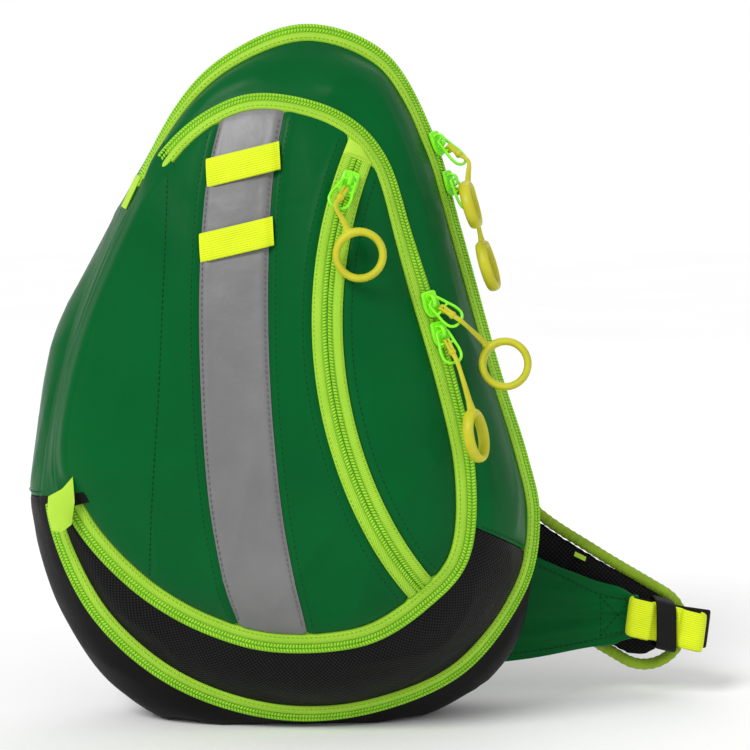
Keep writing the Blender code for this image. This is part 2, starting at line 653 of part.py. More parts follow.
def build_strap():
    wing = [(100, 116), (165, 101), (184, 93), (210, 80), (242, 72), (245, 43), (215, 37), (184, 31),
            (139, 25), (100, 22)]
    wing_front = BACK_DEPTH + BACK_THICK + GAP
    plate("hip_wing", wing, lambda x: wing_front, 4.0, GREEN)
    path = spline([(236, 51.4, 57.5), (272, 52.4, 50), (290, 53.0, 46.5), (293, 56.5, 46), (289, 60.0, 46),
                   (262, 60.4, 50)], 16, False)
    ribbon("hip_webbing", path, lambda i: (0.13, 0, 1), 27.0, 1.6, BLACK)
    roll = [(236, 47), (234, 43), (236.5, 38.5), (247, 38), (250.5, 43), (260, 44.5), (269.5, 43), (272.5, 39),
            (282, 38), (286.5, 41.5), (285, 47)]
    roll = [(x, d - 3.5, 59.5 - 0.24 * (x - 234)) for x, d in roll]
    ribbon("webbing_roll", spline(roll, 24, False), lambda i: (0.13, 0, 1), 27.0, 3.0, YELLOW)
    corners = [(35.5, 16.5), (35.5, -19.5), (64, -19.5), (64, 16.5)]
    inner = [(37.5, 14.5), (37.5, -17.5), (62, -17.5), (62, 14.5)]
    rings = [[place(x, d, 54.6 - 0.24 * (x - 253) + h) for x, (d, h) in
              ((253.0, out), (267.5, out), (267.5, ins), (253.0, ins))] for out, ins in zip(corners, inner)]
    node("elastic_keeper", loft(rings, closed=True), BLACK)
    strap_path = spline([(5, 50.2, 398), (12, 66, 360), (35, 80, 290), (70, 86, 215), (110, 84, 155),
                         (154, 77, 107), (200, 71.5, 76), (250, 70, 46)], 20, False)
    pad, binding = [], []
    for i, (x, d, z) in enumerate(strap_path):
        run = strap_path[min(i + 1, 19)] - strap_path[max(i - 1, 0)]
        side = np.array([run[2], 0, -run[0]]) / math.hypot(run[0], run[2])
        half = 28.0 - 6.0 * max(0.0, 1 - i / 4.0)
        pad.append([place(*(np.array([x, d + t, z]) + side * s * (half - 4.4)))
                    for s, t in ((-1, -4), (1, -4), (1, 4), (-1, 4))])
        binding.append([np.array([x, d, z]) + side * half, np.array([x, d, z]) - side * half, side, run])
    end, centre = binding[-1], strap_path[-1]
    run = end[3] / np.linalg.norm(end[3])
    tip = centre + run * 17.0
    pad.append([place(*(np.array([tip[0], tip[1] + t, tip[2]]) + end[2] * s * 12.5))
                for s, t in ((-1, -4), (1, -4), (1, 4), (-1, 4))])
    node("shoulder_strap_pad", loft(pad), MESH)
    arc = [centre + end[2] * 28 * math.cos(t) + run * 28 * math.sin(t)
           for t in np.linspace(0, math.pi, 8)[1:-1]]
    route = [b[0] for b in binding] + arc + [b[1] for b in binding[::-1]]
    node("shoulder_strap_binding", tube([place(*p) for p in route], 3.9 * MM, 6), LIME)
    tag = [(199, 101), (207, 97), (206, 94), (198, 98)]
    plate("strap_size_tag", tag, lambda x: 62.4, 1.0, LIME)
    lock = [(254, 64), (272, 60), (270, 33), (252, 37)]
    plate("strap_adjuster", lock, lambda x: 79.0, 3.0, PLASTIC)
    loop = spline([(-20, 46.8, 447), (-20, 58, 443), (-20, 66, 424), (-20, 62, 407), (-20, 53, 408),
                   (-20, 50, 424), (-20, 50, 437)], 14, False)
    ribbon("haul_loop", loop, lambda i: (1, 0, 0), 25.0, 1.6, BLACK)


def main():
    for obj in list(bpy.data.objects):
        bpy.data.objects.remove(obj, do_unlink=True)
    build_bag()
    build_zips()
    build_door()
    build_lid()
    build_sliders()
    build_strap()


main()
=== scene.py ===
"""Looks of a trauma backpack: a teardrop sling pack of coated green cloth, black base cloth and lime zips.

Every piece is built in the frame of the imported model, in metres. The pack leans back a little, so a point of
the pack is given in millimetres as x, depth and z: depth runs back from the middle of the base, and place()
adds the lean. Round the pack, a point has an angle and a reach from the long axis.
"""
import json
import logging
import math
from dataclasses import dataclass, field
from enum import Enum
from typing import Callable, ClassVar, Sequence

import bmesh
import bpy
import numpy as np
from mathutils import Matrix, Vector

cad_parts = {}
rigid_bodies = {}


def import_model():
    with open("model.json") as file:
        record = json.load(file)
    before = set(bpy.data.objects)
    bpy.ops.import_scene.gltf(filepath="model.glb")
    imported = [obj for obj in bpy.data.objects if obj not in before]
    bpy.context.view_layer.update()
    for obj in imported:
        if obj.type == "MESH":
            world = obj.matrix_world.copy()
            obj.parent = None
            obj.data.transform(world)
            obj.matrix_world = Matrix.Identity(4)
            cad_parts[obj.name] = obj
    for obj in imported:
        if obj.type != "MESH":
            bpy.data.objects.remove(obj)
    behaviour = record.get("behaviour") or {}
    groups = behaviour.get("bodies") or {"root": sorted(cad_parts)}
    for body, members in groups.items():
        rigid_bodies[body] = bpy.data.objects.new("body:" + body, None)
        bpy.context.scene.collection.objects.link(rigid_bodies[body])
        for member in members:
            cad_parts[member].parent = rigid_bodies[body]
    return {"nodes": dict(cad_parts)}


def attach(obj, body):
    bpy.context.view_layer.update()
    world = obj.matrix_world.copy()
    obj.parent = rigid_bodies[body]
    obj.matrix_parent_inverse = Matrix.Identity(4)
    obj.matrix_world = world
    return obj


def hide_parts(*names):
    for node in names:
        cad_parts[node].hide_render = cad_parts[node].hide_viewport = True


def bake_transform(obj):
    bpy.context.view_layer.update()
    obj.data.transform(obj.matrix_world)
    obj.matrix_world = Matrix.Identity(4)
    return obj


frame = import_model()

LOG = logging.getLogger("trauma_backpack")
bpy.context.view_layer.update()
MM = 0.001
# How far the pack leans back for each millimetre of height, and the clearance between neighbouring pieces
LEAN = 0.067
GAP = 0.3
# Where the long axis crosses the pack's front, and the degrees over which a zip runs out at the hinge side
AXIS_X, AXIS_Z = 0.0, 200.0
HINGE_RAMP = 8.0
# How far sewn edges stay inside the lid's rim, and how far coil teeth slant, in degrees
RIM_INSET = 0.15
COIL_SLANT = 24.0
UV = "cloth"

Points = np.ndarray
RIGHTWARD, BACKWARD, UPWARD = np.eye(3)
FORWARD = np.array([0.0, -1.0, 0.0])
Frames = Callable[[float], "ZipFrame"]


# ---------------------------------------------------------------- the pack's shape

@dataclass(frozen=True)
class PackShape:
    """The edges and layers that shape the pack, in millimetres, as in the solid model."""

    main_seam: tuple = ((9, 466), (58, 447), (88, 395), (106, 333), (130, 245), (150, 182), (158, 140),
                        (148, 92), (108, 40), (45, 14), (-20, 12), (-85, 35), (-135, 80), (-162, 140),
                        (-163, 190), (-147, 265), (-113, 348), (-76, 417), (-38, 451))
    pocket_seam: tuple = ((-22, 419), (24, 408), (53, 380), (70, 326), (95, 239), (107, 180), (104, 128),
                          (80, 97), (41, 72), (-14, 66), (-58, 76), (-98, 97), (-132, 128), (-152, 160),
                          (-158, 198), (-143, 265), (-110, 342), (-86, 383), (-56, 409))
    rear_bulge: tuple = ((5, 450), (50, 434), (78, 385), (98, 325), (123, 245), (144, 185), (158, 140),
                         (158, 92), (146, 46), (112, 12), (60, -6), (-10, -10), (-75, -6), (-125, 22),
                         (-165, 78), (-181, 140), (-179, 190), (-163, 262), (-124, 342), (-82, 408),
                         (-38, 441))
    strip_left: tuple = ((-46, 430), (-61, 360), (-65, 260), (-58, 150), (-34, 50))
    strip_right: tuple = ((-6, 430), (-18, 360), (-20, 260), (-11, 150), (9, 50))
    side_seam: tuple = ((-85, 381), (-87, 317), (-91.5, 233), (-94, 201), (-96.5, 163), (-99, 111))
    main_zip_depth: float = -30.0
    back_depth: float = 42.0
    back_thick: float = 3.0
    sheet_depth: float = 37.0
    pocket_depth: float = -42.0
    pocket_slope: float = -0.16
    pocket_left: float = -165.0
    lid_bulge: float = 31.0
    lid_rise: float = 4.4
    lid_top_rise: float = 3.6
    chain_half: float = 3.5
    binding: float = 7.0
    zip_end: float = -164.0
    main_start: float = 123.0
    pocket_start: float = 116.0
    colour_right: float = -27.0
    colour_left: float = -166.0
    quick_x: float = 295.0
    quick_z: float = 278.0
    quick_r: float = 278.0
    quick_half: float = 10.0
    quick_top: float = 382.0


SHAPE = PackShape()


def place(x: float, depth: float, z: float) -> Vector:
    """A point of the pack in metres."""
    return Vector((x * MM, (depth + LEAN * z) * MM, z * MM))


def placed(points: Points) -> Points:
    """Pack points in millimetres as points in metres.

    Args:
        points: an array whose last axis is x, depth and z.

    Returns:
        An array of the same shape, in the row frame.
    """
    out = np.array(points, dtype=float)
    out[..., 1] += LEAN * out[..., 2]
    return out * MM


def unit(v: Points) -> Points:
    """The vectors along the last axis, one long."""
    return v / np.maximum(np.linalg.norm(v, axis=-1, keepdims=True), 1e-12)


def spline(points: Sequence, count: int, closed: bool = False) -> Points:
    """A smooth curve through points.

    Args:
        points: the points that it passes through.
        count: how many points it gets.
        closed: whether it runs on to its first point.

    Returns:
        count points, evenly spread along it.
    """
    pts = np.array(points, dtype=float)
    if closed:
        ring = np.vstack([pts[-1], pts, pts[0], pts[1]])
    else:
        ring = np.vstack([2 * pts[0] - pts[1], pts, 2 * pts[-1] - pts[-2]])
    dense = []
    for a, b, c, d in zip(ring, ring[1:], ring[2:], ring[3:]):
        for t in np.linspace(0, 1, 24, endpoint=False):
            dense.append(0.5 * (2 * b + (c - a) * t + (2 * a - 5 * b + 4 * c - d) * t * t
                                + (3 * b - a - 3 * c + d) * t ** 3))
    dense.append(ring[-2])
    return resample(np.array(dense), count, closed)


def resample(line: Points, count: int, closed: bool = False) -> Points:
    """The line as count points, evenly spread."""
    length = run_lengths(line)
    stops = np.linspace(0, length[-1], count, endpoint=not closed)
    return np.stack([np.interp(stops, length, line[:, k]) for k in range(line.shape[1])], axis=1)


def run_lengths(line: Points) -> Points:
    """The length along a line at each of its points."""
    return np.concatenate([[0], np.cumsum(np.linalg.norm(np.diff(line, axis=0), axis=1))])


def ease(t: Points) -> Points:
    """0 below 0, 1 above 1, and smooth between."""
    t = np.clip(t, 0.0, 1.0)
    return t * t * (3 - 2 * t)


class Seam:
    """A closed front edge, read as a reach from the pack's axis at an angle in degrees."""

    def __init__(self, ring: Points) -> None:
        """Takes the edge as points in x and z."""
        angle = np.degrees(np.arctan2(ring[:, 1] - AXIS_Z, ring[:, 0] - AXIS_X))
        order = np.argsort(angle)
        self.angle = angle[order]
        self.reach_at = np.hypot(ring[:, 0] - AXIS_X, ring[:, 1] - AXIS_Z)[order]

    def reach(self, angle: Points) -> Points:
        """The reach at an angle or at several."""
        return np.interp(angle, self.angle, self.reach_at, period=360)


MAIN = Seam(spline(SHAPE.main_seam, 480, True))
POCKET = Seam(spline(SHAPE.pocket_seam, 480, True))
BULGE = Seam(spline(SHAPE.rear_bulge, 480, True))


def polar(angle: float, reach: float, depth: float) -> Points:
    """The pack point at an angle and reach from the axis."""
    a = math.radians(angle)
    return np.array([AXIS_X + reach * math.cos(a), depth, AXIS_Z + reach * math.sin(a)])


def bearing(x: Points, z: Points) -> Points:
    """The angle in degrees at which places lie round the axis."""
    return np.degrees(np.arctan2(z - AXIS_Z, x - AXIS_X))


def ring_xz(angles: Points, reach: Points) -> Points:
    """The places in x and z at angles and reaches from the axis."""
    turn = np.radians(angles)
    return np.stack([AXIS_X + reach * np.cos(turn), AXIS_Z + reach * np.sin(turn)], axis=1)


def outward(points: Points, depth: float) -> Points:
    """The ways from the axis to points, all with the same part in depth."""
    away = points - np.array([AXIS_X, 0.0, AXIS_Z])
    away[..., 1] = depth
    return away


def stations(start: float, end: float, step: float = 3.0) -> list[float]:
    """Angles from start clockwise to end, about step millimetres apart along the main seam."""
    fine = np.linspace(start, end, 720)
    pts = np.array([polar(a, MAIN.reach(a), 0) for a in fine])
    length = run_lengths(pts)
    count = max(2, round(length[-1] / step))
    return [float(a) for a in np.interp(np.linspace(0, length[-1], count + 1), length, fine)]


def zip_share(angle: float, start: float) -> float:
    """1 where the zip runs and 0 along the hinge side, with a short ramp between."""
    turn = (start - angle) % 360
    whole = start - SHAPE.zip_end
    if turn <= whole:
        return 1.0
    return 1.0 - float(ease(min(turn - whole, 360 - turn) / HINGE_RAMP))


def pocket_plane(x: Points) -> Points:
    """Depth of the plane where the front lid parts from the door."""
    return SHAPE.pocket_depth + SHAPE.pocket_slope * (x - SHAPE.pocket_left)


def main_point(angle: float) -> Points:
    """The middle of the main zip's chain."""
    return polar(angle, MAIN.reach(angle) + 2.0, SHAPE.main_zip_depth)


def pocket_point(angle: float) -> Points:
    """The middle of the front pocket zip's chain."""
    point = polar(angle, POCKET.reach(angle) + 3.0 * zip_share(angle, SHAPE.pocket_start), 0.0)
    point[1] = pocket_plane(point[0])
    return point


def top_share(angle: Points) -> Points:
    """How near an angle is to the pack's top, from 0 to 1, where the front zip turns up."""
    return ease((np.sin(np.radians(angle)) - 0.74) / 0.24)


class ZipFrame:
    """A spot on a zip, with the ways along it clockwise, across its face and out of it."""

    def __init__(self, point: Callable, angle: float, hint: Points | None) -> None:
        """Takes the chain's middle as a function of the angle, and the way across, if it is known."""
        top = float(top_share(angle))
        self.point = point(angle)
        self.along = unit(point(angle - 0.7) - point(angle + 0.7))
        level = np.array([-self.along[2], 0.0, self.along[0]])
        across = hint if hint is not None else level * (0.92 - 0.24 * top) + (0, 0.38 + 0.34 * top, 0)
        self.face = unit(across - self.along * np.dot(across, self.along))
        self.out = np.cross(self.along, self.face)

    def at(self, across: float, lift: float = 0.0) -> Points:
        """The point so far across the face and out of it."""
        return self.point + self.face * across + self.out * lift


def main_frame(angle: float) -> ZipFrame:
    """The main zip's frame."""
    return ZipFrame(main_point, angle, main_point(angle) - pocket_point(angle))


def pocket_frame(angle: float) -> ZipFrame:
    """The front pocket zip's frame."""
    return ZipFrame(pocket_point, angle, None)


def lid_edge_point(angle: float) -> Points:
    """The lid's edge at an angle, in x and z."""
    share = zip_share(angle, SHAPE.pocket_start)
    inner = SHAPE.chain_half + SHAPE.binding + GAP
    return pocket_frame(angle).at(-(inner + 0.3) * share - 0.6 * (1 - share))[[0, 2]]


LID = Seam(np.array([lid_edge_point(a) for a in np.arange(-180.0, 180.0, 2.0)]))


def lid_share(x: Points, z: Points) -> Points:
    """How far a place is from the middle of the lid to its edge, from 0 to 1."""
    return np.minimum(np.hypot(x - AXIS_X, z - AXIS_Z) / LID.reach(bearing(x, z)), 1.0)


def lid_depth(x: Points, z: Points) -> Points:
    """Depth of the lid's outer face."""
    share = lid_share(x, z)
    rise = SHAPE.lid_rise + SHAPE.lid_top_rise * top_share(bearing(x, z)) * share ** 6
    return pocket_plane(x) - rise - SHAPE.lid_bulge * (1 - share ** 2.5) ** 0.75


class Folds:
    """Soft folds in cloth: a seeded sum of waves, ridged or smooth."""

    WAVES = 14

    def __init__(self, seed: int, length: float, stretch: tuple[float, float, float] = (1, 1, 1),
                 ridged: bool = False) -> None:
        """Takes a seed, the wavelength in millimetres and how much longer the folds are along each axis."""
        rng = np.random.default_rng(seed)
        ways = unit(rng.normal(size=(self.WAVES, 3))) / np.array(stretch)
        self.ways = ways * (2 * math.pi / length) * rng.uniform(0.6, 1.6, size=(self.WAVES, 1))
        self.phase = rng.uniform(0, 2 * math.pi, size=self.WAVES)
        self.ridged = ridged

    def __call__(self, points: Points) -> Points:
        """The height of the folds at pack points, from -1 to 1."""
        value = np.sin(np.asarray(points) @ self.ways.T + self.phase).sum(axis=-1) / 4.5
        value = np.clip(value, -1.2, 1.2)
        return 1.0 - 2.0 * np.abs(value) ** 0.7 if self.ridged else value


# ---------------------------------------------------------------- meshes

def in_scene(name: str, data: bpy.types.ID) -> bpy.types.Object:
    """A new object in the scene that shows some data."""
    obj = bpy.data.objects.new(name, data)
    bpy.context.scene.collection.objects.link(obj)
    return obj


def new_object(name: str, points: Points, faces: Sequence, finishes: Sequence, uv: Points | None = None,
               index: Points | None = None, smooth: float | None = 45.0) -> bpy.types.Object:
    """A mesh object in the scene.

    Args:
        name: the piece's name.
        points: its corners in metres.
        faces: its faces, as corner numbers.
        finishes: its finishes.
        uv: a place on the cloth for each corner, in metres.
        index: each face's finish, by number.
        smooth: the angle in degrees above which an edge is sharp, or None for flat faces.

    Returns:
        The object, with its faces turned out.
    """
    points = np.asarray(points, dtype=float)
    mesh = bpy.data.meshes.new(name)
    mesh.from_pydata(points.tolist(), [], [list(f) for f in faces])
    mesh.validate()
    mesh.calc_loop_triangles()
    tri = np.empty(len(mesh.loop_triangles) * 3, dtype=np.int32)
    mesh.loop_triangles.foreach_get("vertices", tri)
    a, b, c = (points[tri.reshape(-1, 3)[:, k]] for k in range(3))
    if np.einsum("ij,ij->i", a, np.cross(b, c)).sum() < 0:
        mesh.flip_normals()
    if uv is not None:
        layer = mesh.uv_layers.new(name=UV)
        corner = np.empty(len(mesh.loops), dtype=np.int32)
        mesh.loops.foreach_get("vertex_index", corner)
        layer.data.foreach_set("uv", np.asarray(uv, dtype=float)[corner].ravel())
    for finish in finishes:
        mesh.materials.append(PAINT(finish))
    if index is not None and len(index) == len(mesh.polygons):
        mesh.polygons.foreach_set("material_index", np.asarray(index, dtype=np.int32))
    if smooth is None:
        mesh.shade_flat()
    else:
        mesh.shade_smooth()
        mesh.set_sharp_from_angle(angle=math.radians(smooth))
    return in_scene(name, mesh)


def grid_normals(grid: Points, closed: bool = False) -> Points:
    """The normals of a grid of points, whose rows may close on themselves."""
    if closed:
        down = np.roll(grid, -1, axis=0) - np.roll(grid, 1, axis=0)
    else:
        down = np.gradient(grid, axis=0)
    return unit(np.cross(down, np.gradient(grid, axis=1)))


def grid_uv(grid: Points) -> Points:
    """A place on flat cloth for each point of a grid in millimetres: the mean lengths along it, in metres."""
    down = np.linalg.norm(np.diff(grid, axis=0), axis=2)
    over = np.linalg.norm(np.diff(grid, axis=1), axis=2)
    u = np.concatenate([[0], np.cumsum(down.mean(axis=1))])[:, None] + np.zeros(grid.shape[:2])
    v = np.concatenate([np.zeros((len(grid), 1)), np.cumsum(over, axis=1)], axis=1)
    return np.stack([u, v], axis=-1) * MM


def shell(name: str, grid: Points, thick: float, outside: Points, finishes: Sequence,
          uv: Points | None = None, lift: Points | None = None) -> bpy.types.Object:
    """A closed cloth shell on a grid.

    Args:
        name: the piece's name.
        grid: rows of pack points in millimetres, the outer face.
        thick: the cloth's thickness in millimetres.
        outside: a way that points out of the outer face, for each point or for all.
        finishes: the outer finish and, if it differs, the inner one.
        uv: a place on the cloth for each point, or None to work it out.
        lift: how far each point moves out.

    Returns:
        The piece.
    """
    rows, cols = grid.shape[:2]
    normal = grid_normals(grid)
    turn = np.sign((normal * outside).sum(axis=-1, keepdims=True))
    normal = normal * np.where(turn == 0, 1.0, turn)
    outer = grid + normal * (lift[..., None] if lift is not None else 0.0)
    inner = outer - normal * thick
    number = np.arange(rows * cols).reshape(rows, cols)
    quads = np.stack([number[:-1, :-1], number[1:, :-1], number[1:, 1:], number[:-1, 1:]], axis=-1)
    quads = quads.reshape(-1, 4)
    under = quads[:, ::-1] + rows * cols
    edge = np.concatenate([number[0, :], number[1:, -1], number[-1, -2::-1], number[-2:0:-1, 0]])
    nxt = np.roll(edge, -1)
    rim = np.stack([edge, nxt, nxt + rows * cols, edge + rows * cols], axis=-1)
    faces = np.concatenate([quads, under, rim])
    index = np.concatenate([np.zeros(len(quads)), np.full(len(under), len(finishes) - 1), np.zeros(len(rim))])
    uv = grid_uv(grid) if uv is None else uv
    points = placed(np.concatenate([outer.reshape(-1, 3), inner.reshape(-1, 3)]))
    both = np.concatenate([uv.reshape(-1, 2)] * 2)
    return new_object(name, points, faces.tolist(), finishes, both, index, 60.0)


def sweep(name: str, rings: Points, finish: "Finish", closed: bool = False,
          metres: bool = False) -> bpy.types.Object:
    """A solid swept through rings of points.

    Args:
        name: the piece's name.
        rings: rings of pack points in millimetres, or of points in metres.
        finish: its finish.
        closed: whether the last ring joins the first.
        metres: whether the rings are in metres in the row frame.

    Returns:
        The piece, with its length and girth as its place on the cloth.
    """
    rings = np.asarray(rings, dtype=float)
    count, sides = rings.shape[:2]
    scale = 1.0 if metres else MM
    centre = rings.mean(axis=1)
    along = run_lengths(np.vstack([centre, centre[:1]]) if closed else centre) * scale
    loop = np.concatenate([rings[count // 2], rings[count // 2][:1]])
    girth = run_lengths(loop) * scale
    rows = count + 1 if closed else count
    points, uv = [], []
    for i in range(rows):
        for k in range(sides):
            points.append(rings[i % count][k])
            uv.append((along[i], girth[k]))
    faces = [(i * sides + k, i * sides + (k + 1) % sides, (i + 1) * sides + (k + 1) % sides,
              (i + 1) * sides + k) for i in range(rows - 1) for k in range(sides)]
    if closed:
        faces = [tuple(v % (count * sides) for v in f) for f in faces]
        points, uv = points[:count * sides], uv[:count * sides]
    else:
        faces += [tuple(range(sides)), tuple(range((rows - 1) * sides, rows * sides))[::-1]]
    points = np.array(points) if metres else placed(np.array(points))
    obj = new_object(name, points, faces, [finish], np.array(uv), None, 50.0)
    bm = bmesh.new()
    bm.from_mesh(obj.data)
    bmesh.ops.recalc_face_normals(bm, faces=bm.faces)
    bm.to_mesh(obj.data)
    bm.free()
    return obj


def tube_rings(path: Points, radius: float | Points, sides: int = 12, closed: bool = False,
               flat: tuple[float, float] = (1.0, 1.0), up: Points | None = None) -> Points:
    """Round rings along a path.

    Args:
        path: the points of the path, in any unit.
        radius: the radius at each point or at all.
        sides: points in a ring.
        closed: whether the path closes.
        flat: how much wider the rings are sideways, and along up.
        up: a way that the rings keep, or None.

    Returns:
        The rings, in the path's unit.
    """
    path = np.asarray(path, dtype=float)
    ahead = np.roll(path, -1, axis=0) if closed else np.vstack([path[1:], path[-1:] * 2 - path[-2:-1]])
    behind = np.roll(path, 1, axis=0) if closed else np.vstack([path[:1] * 2 - path[1:2], path[:-1]])
    run = unit(ahead - behind)
    first = up if up is not None else np.array(Vector(run[0]).orthogonal())
    radii = np.broadcast_to(radius, len(path))
    turn = np.linspace(0, 2 * math.pi, sides, endpoint=False)
    rings, frame_up = [], unit(np.asarray(first, dtype=float))
    for p, r, ahead_way in zip(path, radii, run):
        hint = first if up is not None else frame_up
        frame_up = unit(hint - ahead_way * np.dot(hint, ahead_way))
        side = np.cross(ahead_way, frame_up)
        ring = side * flat[0] * np.cos(turn)[:, None] + frame_up * flat[1] * np.sin(turn)[:, None]
        rings.append(p + ring * r)
    return np.array(rings)


def strap_rings(path: Points, across: Points, wide: float, thick: float, bow: float = 0.0) -> Points:
    """Rings of a flat strap with rounded edges.

    Args:
        path: its middle, in millimetres.
        across: the way of its width at each point, or at all.
        wide: its width.
        thick: its thickness.
        bow: how far its middle stands proud of its edges.

    Returns:
        The rings.
    """
    path = np.asarray(path, dtype=float)
    run = unit(np.gradient(path, axis=0))
    side = unit(np.broadcast_to(across, path.shape))
    up = unit(np.cross(run, side))
    section = []
    for end in (1, -1):
        for s in np.linspace(-end, end, 11):
            height = end * thick / 2 * (1 - 0.3 * abs(s) ** 6) + bow * (1 - s * s)
            section.append((s * (wide / 2 - thick * 0.35), height))
        section.append((end * wide / 2, 0.0))
    return np.stack([path + side * a + up * b for a, b in section], axis=1)


def join(name: str, objects: Sequence[bpy.types.Object]) -> bpy.types.Object:
    """Several objects as one named mesh, materials kept."""
    bpy.ops.object.select_all(action="DESELECT")
    for obj in objects:
        obj.select_set(True)
    bpy.context.view_layer.objects.active = objects[0]
    bpy.ops.object.join()
    objects[0].name = name
    objects[0].data.name = name
    return objects[0]


def applied(obj: bpy.types.Object) -> bpy.types.Object:
    """The object with its modifiers made part of its mesh."""
    seen = obj.evaluated_get(bpy.context.evaluated_depsgraph_get())
    mesh = bpy.data.meshes.new_from_object(seen)
    obj.modifiers.clear()
    old, obj.data = obj.data, mesh
    name = old.name
    bpy.data.meshes.remove(old)
    mesh.name = name
    return obj


# ---------------------------------------------------------------- rows of stitches and teeth

def put(tree: bpy.types.NodeTree, kind: str, feeds: dict | None = None, **settings) -> bpy.types.Node:
    """Adds a node.

    Args:
        tree: the node tree.
        kind: the node's type name.
        feeds: for an input's name or number, a value or the socket that feeds it.
        settings: the node's own properties.

    Returns:
        The node.
    """
    item = tree.nodes.new(kind)
    for key, value in settings.items():
        setattr(item, key, value)
    for key, value in (feeds or {}).items():
        if isinstance(value, bpy.types.NodeSocket):
            tree.links.new(value, item.inputs[key])
        else:
            item.inputs[key].default_value = value
    return item


class RowTree:
    """A Geometry Nodes tree that sets one small rounded body after another along a line on a surface."""

    INPUTS = (("Spacing", "NodeSocketFloat"), ("Size", "NodeSocketVector"), ("Slant", "NodeSocketFloat"),
              ("Finish", "NodeSocketMaterial"))

    def __init__(self) -> None:
        """Builds the tree."""
        tree = bpy.data.node_groups.new("row_along_line", "GeometryNodeTree")
        tree.interface.new_socket("Geometry", in_out="INPUT", socket_type="NodeSocketGeometry")
        for name, kind in self.INPUTS:
            tree.interface.new_socket(name, in_out="INPUT", socket_type=kind)
        tree.interface.new_socket("Geometry", in_out="OUTPUT", socket_type="NodeSocketGeometry")
        given = put(tree, "NodeGroupInput")
        line = put(tree, "GeometryNodeMeshToCurve", {"Mesh": given.outputs["Geometry"]})
        even = put(tree, "GeometryNodeResampleCurve",
                   {"Curve": line.outputs[0], "Length": given.outputs["Spacing"]}, mode="LENGTH")
        out = put(tree, "GeometryNodeInputNamedAttribute", {"Name": "out"}, data_type="FLOAT_VECTOR")
        tangent = put(tree, "GeometryNodeInputTangent")
        first = put(tree, "FunctionNodeAlignRotationToVector", {"Vector": tangent.outputs[0]}, axis="X")
        second = put(tree, "FunctionNodeAlignRotationToVector",
                     {"Rotation": first.outputs[0], "Vector": out.outputs[0]}, axis="Z", pivot_axis="X")
        slant = put(tree, "ShaderNodeCombineXYZ", {"Z": given.outputs["Slant"]})
        lean = put(tree, "FunctionNodeEulerToRotation", {"Euler": slant.outputs[0]})
        turned = put(tree, "FunctionNodeRotateRotation",
                     {"Rotation": second.outputs[0], "Rotate By": lean.outputs[0]}, rotation_space="LOCAL")
        ball = put(tree, "GeometryNodeMeshUVSphere", {"Segments": 6, "Rings": 5, "Radius": 0.5})
        soft = put(tree, "GeometryNodeSetShadeSmooth", {"Geometry": ball.outputs[0]})
        set_out = put(tree, "GeometryNodeInstanceOnPoints",
                      {"Points": even.outputs[0], "Instance": soft.outputs[0], "Rotation": turned.outputs[0],
                       "Scale": given.outputs["Size"]})
        real = put(tree, "GeometryNodeRealizeInstances", {"Geometry": set_out.outputs[0]})
        dress = put(tree, "GeometryNodeSetMaterial",
                    {"Geometry": real.outputs[0], "Material": given.outputs["Finish"]})
        put(tree, "NodeGroupOutput", {"Geometry": dress.outputs[0]})
        self.tree = tree
        self.ids = {i.name: i.identifier for i in tree.interface.items_tree if i.in_out == "INPUT"}

    def lay(self, name: str, lines: Sequence[tuple[Points, Points]], spacing: float,
            size: tuple[float, float, float], slant: float, finish: "Finish") -> bpy.types.Object:
        """Lays a row along each line.

        Args:
            name: the piece's name.
            lines: for each row, its points and the way out of the surface there, as pack millimetres.
            spacing: from one body to the next, in millimetres.
            size: each body's size along the row, across it and out of the surface, in millimetres.
            slant: how far each is turned on the surface, in degrees.
            finish: its finish.

        Returns:
            The rows as one mesh.
        """
        points, edges, outs = [], [], []
        for line, out in lines:
            first = len(points)
            points += placed(line).tolist()
            outs += np.broadcast_to(out, line.shape).tolist()
            edges += [(i, i + 1) for i in range(first, len(points) - 1)]
        mesh = bpy.data.meshes.new(name)
        mesh.from_pydata(points, edges, [])
        mesh.attributes.new("out", "FLOAT_VECTOR", "POINT").data.foreach_set("vector", np.ravel(outs))
        obj = in_scene(name, mesh)
        rows = obj.modifiers.new("rows", "NODES")
        rows.node_group = self.tree
        rows[self.ids["Spacing"]] = spacing * MM
        rows[self.ids["Size"]] = [v * MM for v in size]
        rows[self.ids["Slant"]] = math.radians(slant)
        rows[self.ids["Finish"]] = PAINT(finish)
        return applied(obj)


ROWS = RowTree()


# ---------------------------------------------------------------- finishes

def linear(colour: str) -> tuple[float, float, float, float]:
    """An sRGB hex colour as linear red, green, blue and alpha."""
    parts = [int(colour[i:i + 2], 16) / 255 for i in (0, 2, 4)]
    return (*(c / 12.92 if c <= 0.04045 else ((c + 0.055) / 1.055) ** 2.4 for c in parts), 1.0)


class Weave(Enum):
    """How a cloth's threads lie."""

    PLAIN = "plain"
    BASKET = "basket"
    TWILL = "twill"
    RIBS = "ribs"
    MESH = "mesh"
    NONE = "none"


